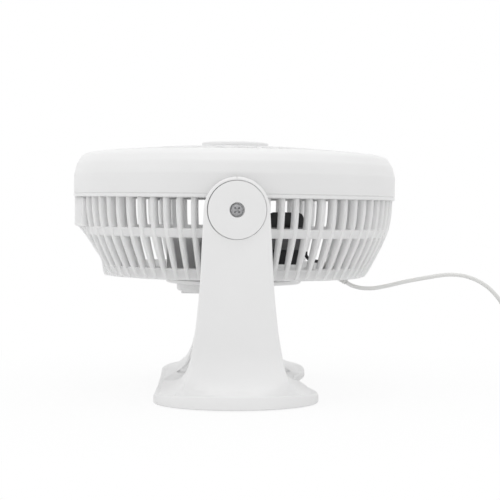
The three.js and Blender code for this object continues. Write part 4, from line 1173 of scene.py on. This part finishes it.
def build_rotor():
    inner = HUB_R - 2.2
    hub = [
        (SHAFT_R, 9), (5, 9, 0.4), (5, 32), (inner, 32), (inner, 11), (HUB_R, 11, 0.5),
        (HUB_R, BLADE_TOP, 3), (SHAFT_R, BLADE_TOP),
    ]
    parts = [about_z(blade_part(), 360 * k / BLADES) for k in range(BLADES)]
    parts.append(lathe(fillet(hub, 6), 96))
    dress(united("blade_wheel", parts, 45), "rotor", blade_plastic, "fan_blade")
    nut = [
        (SHAFT_R, 35.3), (8, 35.3, 0.3), (7.2, 38.4, 1), (5, 40.3, 1.4), (0, 40.8), (0, 39.6),
        (SHAFT_R, 39.6),
    ]
    shaft = [(0, -41.5), (2.4, -41.5, 0.4), (2.4, 39.2, 0.4), (0, 39.2)]
    core = [(SHAFT_R, -28.4), (12.9, -28.4, 0.3), (12.9, -12.7, 0.3), (SHAFT_R, -12.7)]
    for name, profile, corner_steps, steps, material, node in (
        ("blade_cap_nut", nut, 4, 48, white_plastic, "blade_nut"),
        ("shaft_bar", shaft, 2, 32, steel, "motor_shaft"),
        ("rotor_core", core, 2, 64, laminations, "motor_rotor"),
    ):
        piece = turned(name, profile, corner_steps, steps, sharp=45)
        dress(piece, "rotor", material, node)


def build_knob():
    """A round knob with flutes round its side and a straight grip across its face."""
    top, face, flutes, flute_deep = -55.1, -62.3, 24, 0.28
    outline = [(0, top), (KNOB_R, top, 0.3), (KNOB_R, -60.4, 2.4), (5, face, 12), (0, face)]
    verts, faces = lathe(fillet(outline, 6), 144)
    fluted = []
    for x, y, z in verts:
        r, angle = math.hypot(x, y), math.atan2(y, x)
        if r > KNOB_R - 3 and z < top - 0.5:
            r -= flute_deep * (0.5 + 0.5 * cos(flutes * angle)) ** 2
        fluted.append((r * cos(angle), r * sin(angle), z))
    rings = []
    for w, h, corner, level in ((11, 1.6, 1, -61), (11, 1.6, 1, -62.5), (10.6, 1.2, 0.8, -62.9)):
        rings.append([(x, y, z) for x, z, y in rounded_box_ring(w, h, corner, level, 4)])
    place = HEAD @ moved((KNOB_X, 0, 0))
    knob = new_object("speed_dial", [(fluted, faces), loft(rings)], place, 45)
    dress(knob, "knob", knob_plastic, "speed_knob")
    spindle = [(0, -58.3), (3, -58.3, 0.3), (3, -36.4, 0.3), (0, -36.4)]
    piece = turned("switch_stem", spindle, 2, 32, place, 45)
    dress(piece, "knob", black_plastic, "switch_spindle")


build_rotor()
build_knob()


# ---- floor, light and background
def mixed(owner, share, first, second, output):
    """Shows two shaders, the second by a share."""
    mix = add_node(owner, "MixShader")
    link(owner, share, mix.inputs["Fac"])
    link(owner, first.outputs[0], mix.inputs[1])
    link(owner, second.outputs[0], mix.inputs[2])
    link(owner, mix.outputs["Shader"], owner.node_tree.nodes[output].inputs["Surface"])


def add_floor():
    """A pale floor that shows its own shade near the fan and turns plain white further off."""
    size, near, far = 6, 0.1, 0.34
    mesh = bpy.data.meshes.new("floor")
    mesh.from_pydata([(size * i, size * j, 0) for i, j in QUADRANTS], [], [(0, 1, 2, 3)])
    floor = add_object("floor", mesh)
    material, shader = base_material("floor", (0.92, 0.92, 0.92), 0.9)
    shader.inputs["Specular IOR Level"].default_value = 0.0
    rays = add_node(material, "LightPath")
    glow = add_node(material, "Emission")
    space = add_node(material, "TexCoord")
    reach = add_node(material, "VectorMath", operation="LENGTH")
    white = add_node(material, "Math", operation="MULTIPLY")
    link(material, space.outputs["Object"], reach.inputs[0])
    share = ranged(material, reach.outputs["Value"], 0.9, 1.0, near, far)
    link(material, rays.outputs["Is Camera Ray"], white.inputs[0])
    link(material, share, white.inputs[1])
    mixed(material, white.outputs[0], shader, glow, "Material Output")
    mesh.materials.append(material)


def add_world(strength):
    """Even white light, and plain white where the camera or a reflection sees it."""
    world = bpy.data.worlds.new("studio")
    bpy.context.scene.world = world
    world.use_nodes = True
    white = (1, 1, 1, 1)
    plain = world.node_tree.nodes["Background"]
    set_up(plain, {"Color": white, "Strength": strength})
    seen = add_node(world, "Background", Color=white, Strength=1)
    rays = add_node(world, "LightPath")
    total = rays.outputs["Is Camera Ray"]
    for kind in ("Is Glossy Ray", "Is Transmission Ray"):
        either = add_node(world, "Math", operation="MAXIMUM")
        link(world, total, either.inputs[0])
        link(world, rays.outputs[kind], either.inputs[1])
        total = either.outputs[0]
    mixed(world, total, plain, seen, "World Output")


FAN_MIDDLE = Vector((0, 0, 0.1))


def add_softbox(name, at, size, power):
    light = bpy.data.lights.new(name, "AREA")
    light.shape = "RECTANGLE"
    light.size, light.size_y = size
    light.energy = power
    way = FAN_MIDDLE - Vector(at)
    turn = way.to_track_quat("-Z", "Y").to_matrix().to_4x4()
    add_object(name, light).matrix_world = moved(at) @ turn


add_floor()
add_world(0.775)
add_softbox("top", (0.1, -0.2, 1.5), (1.6, 1.6), 5.6)
add_softbox("left", (-1.5, -0.5, 0.9), (1.4, 1.2), 1.8)

bpy.context.scene.view_settings.view_transform = "Standard"
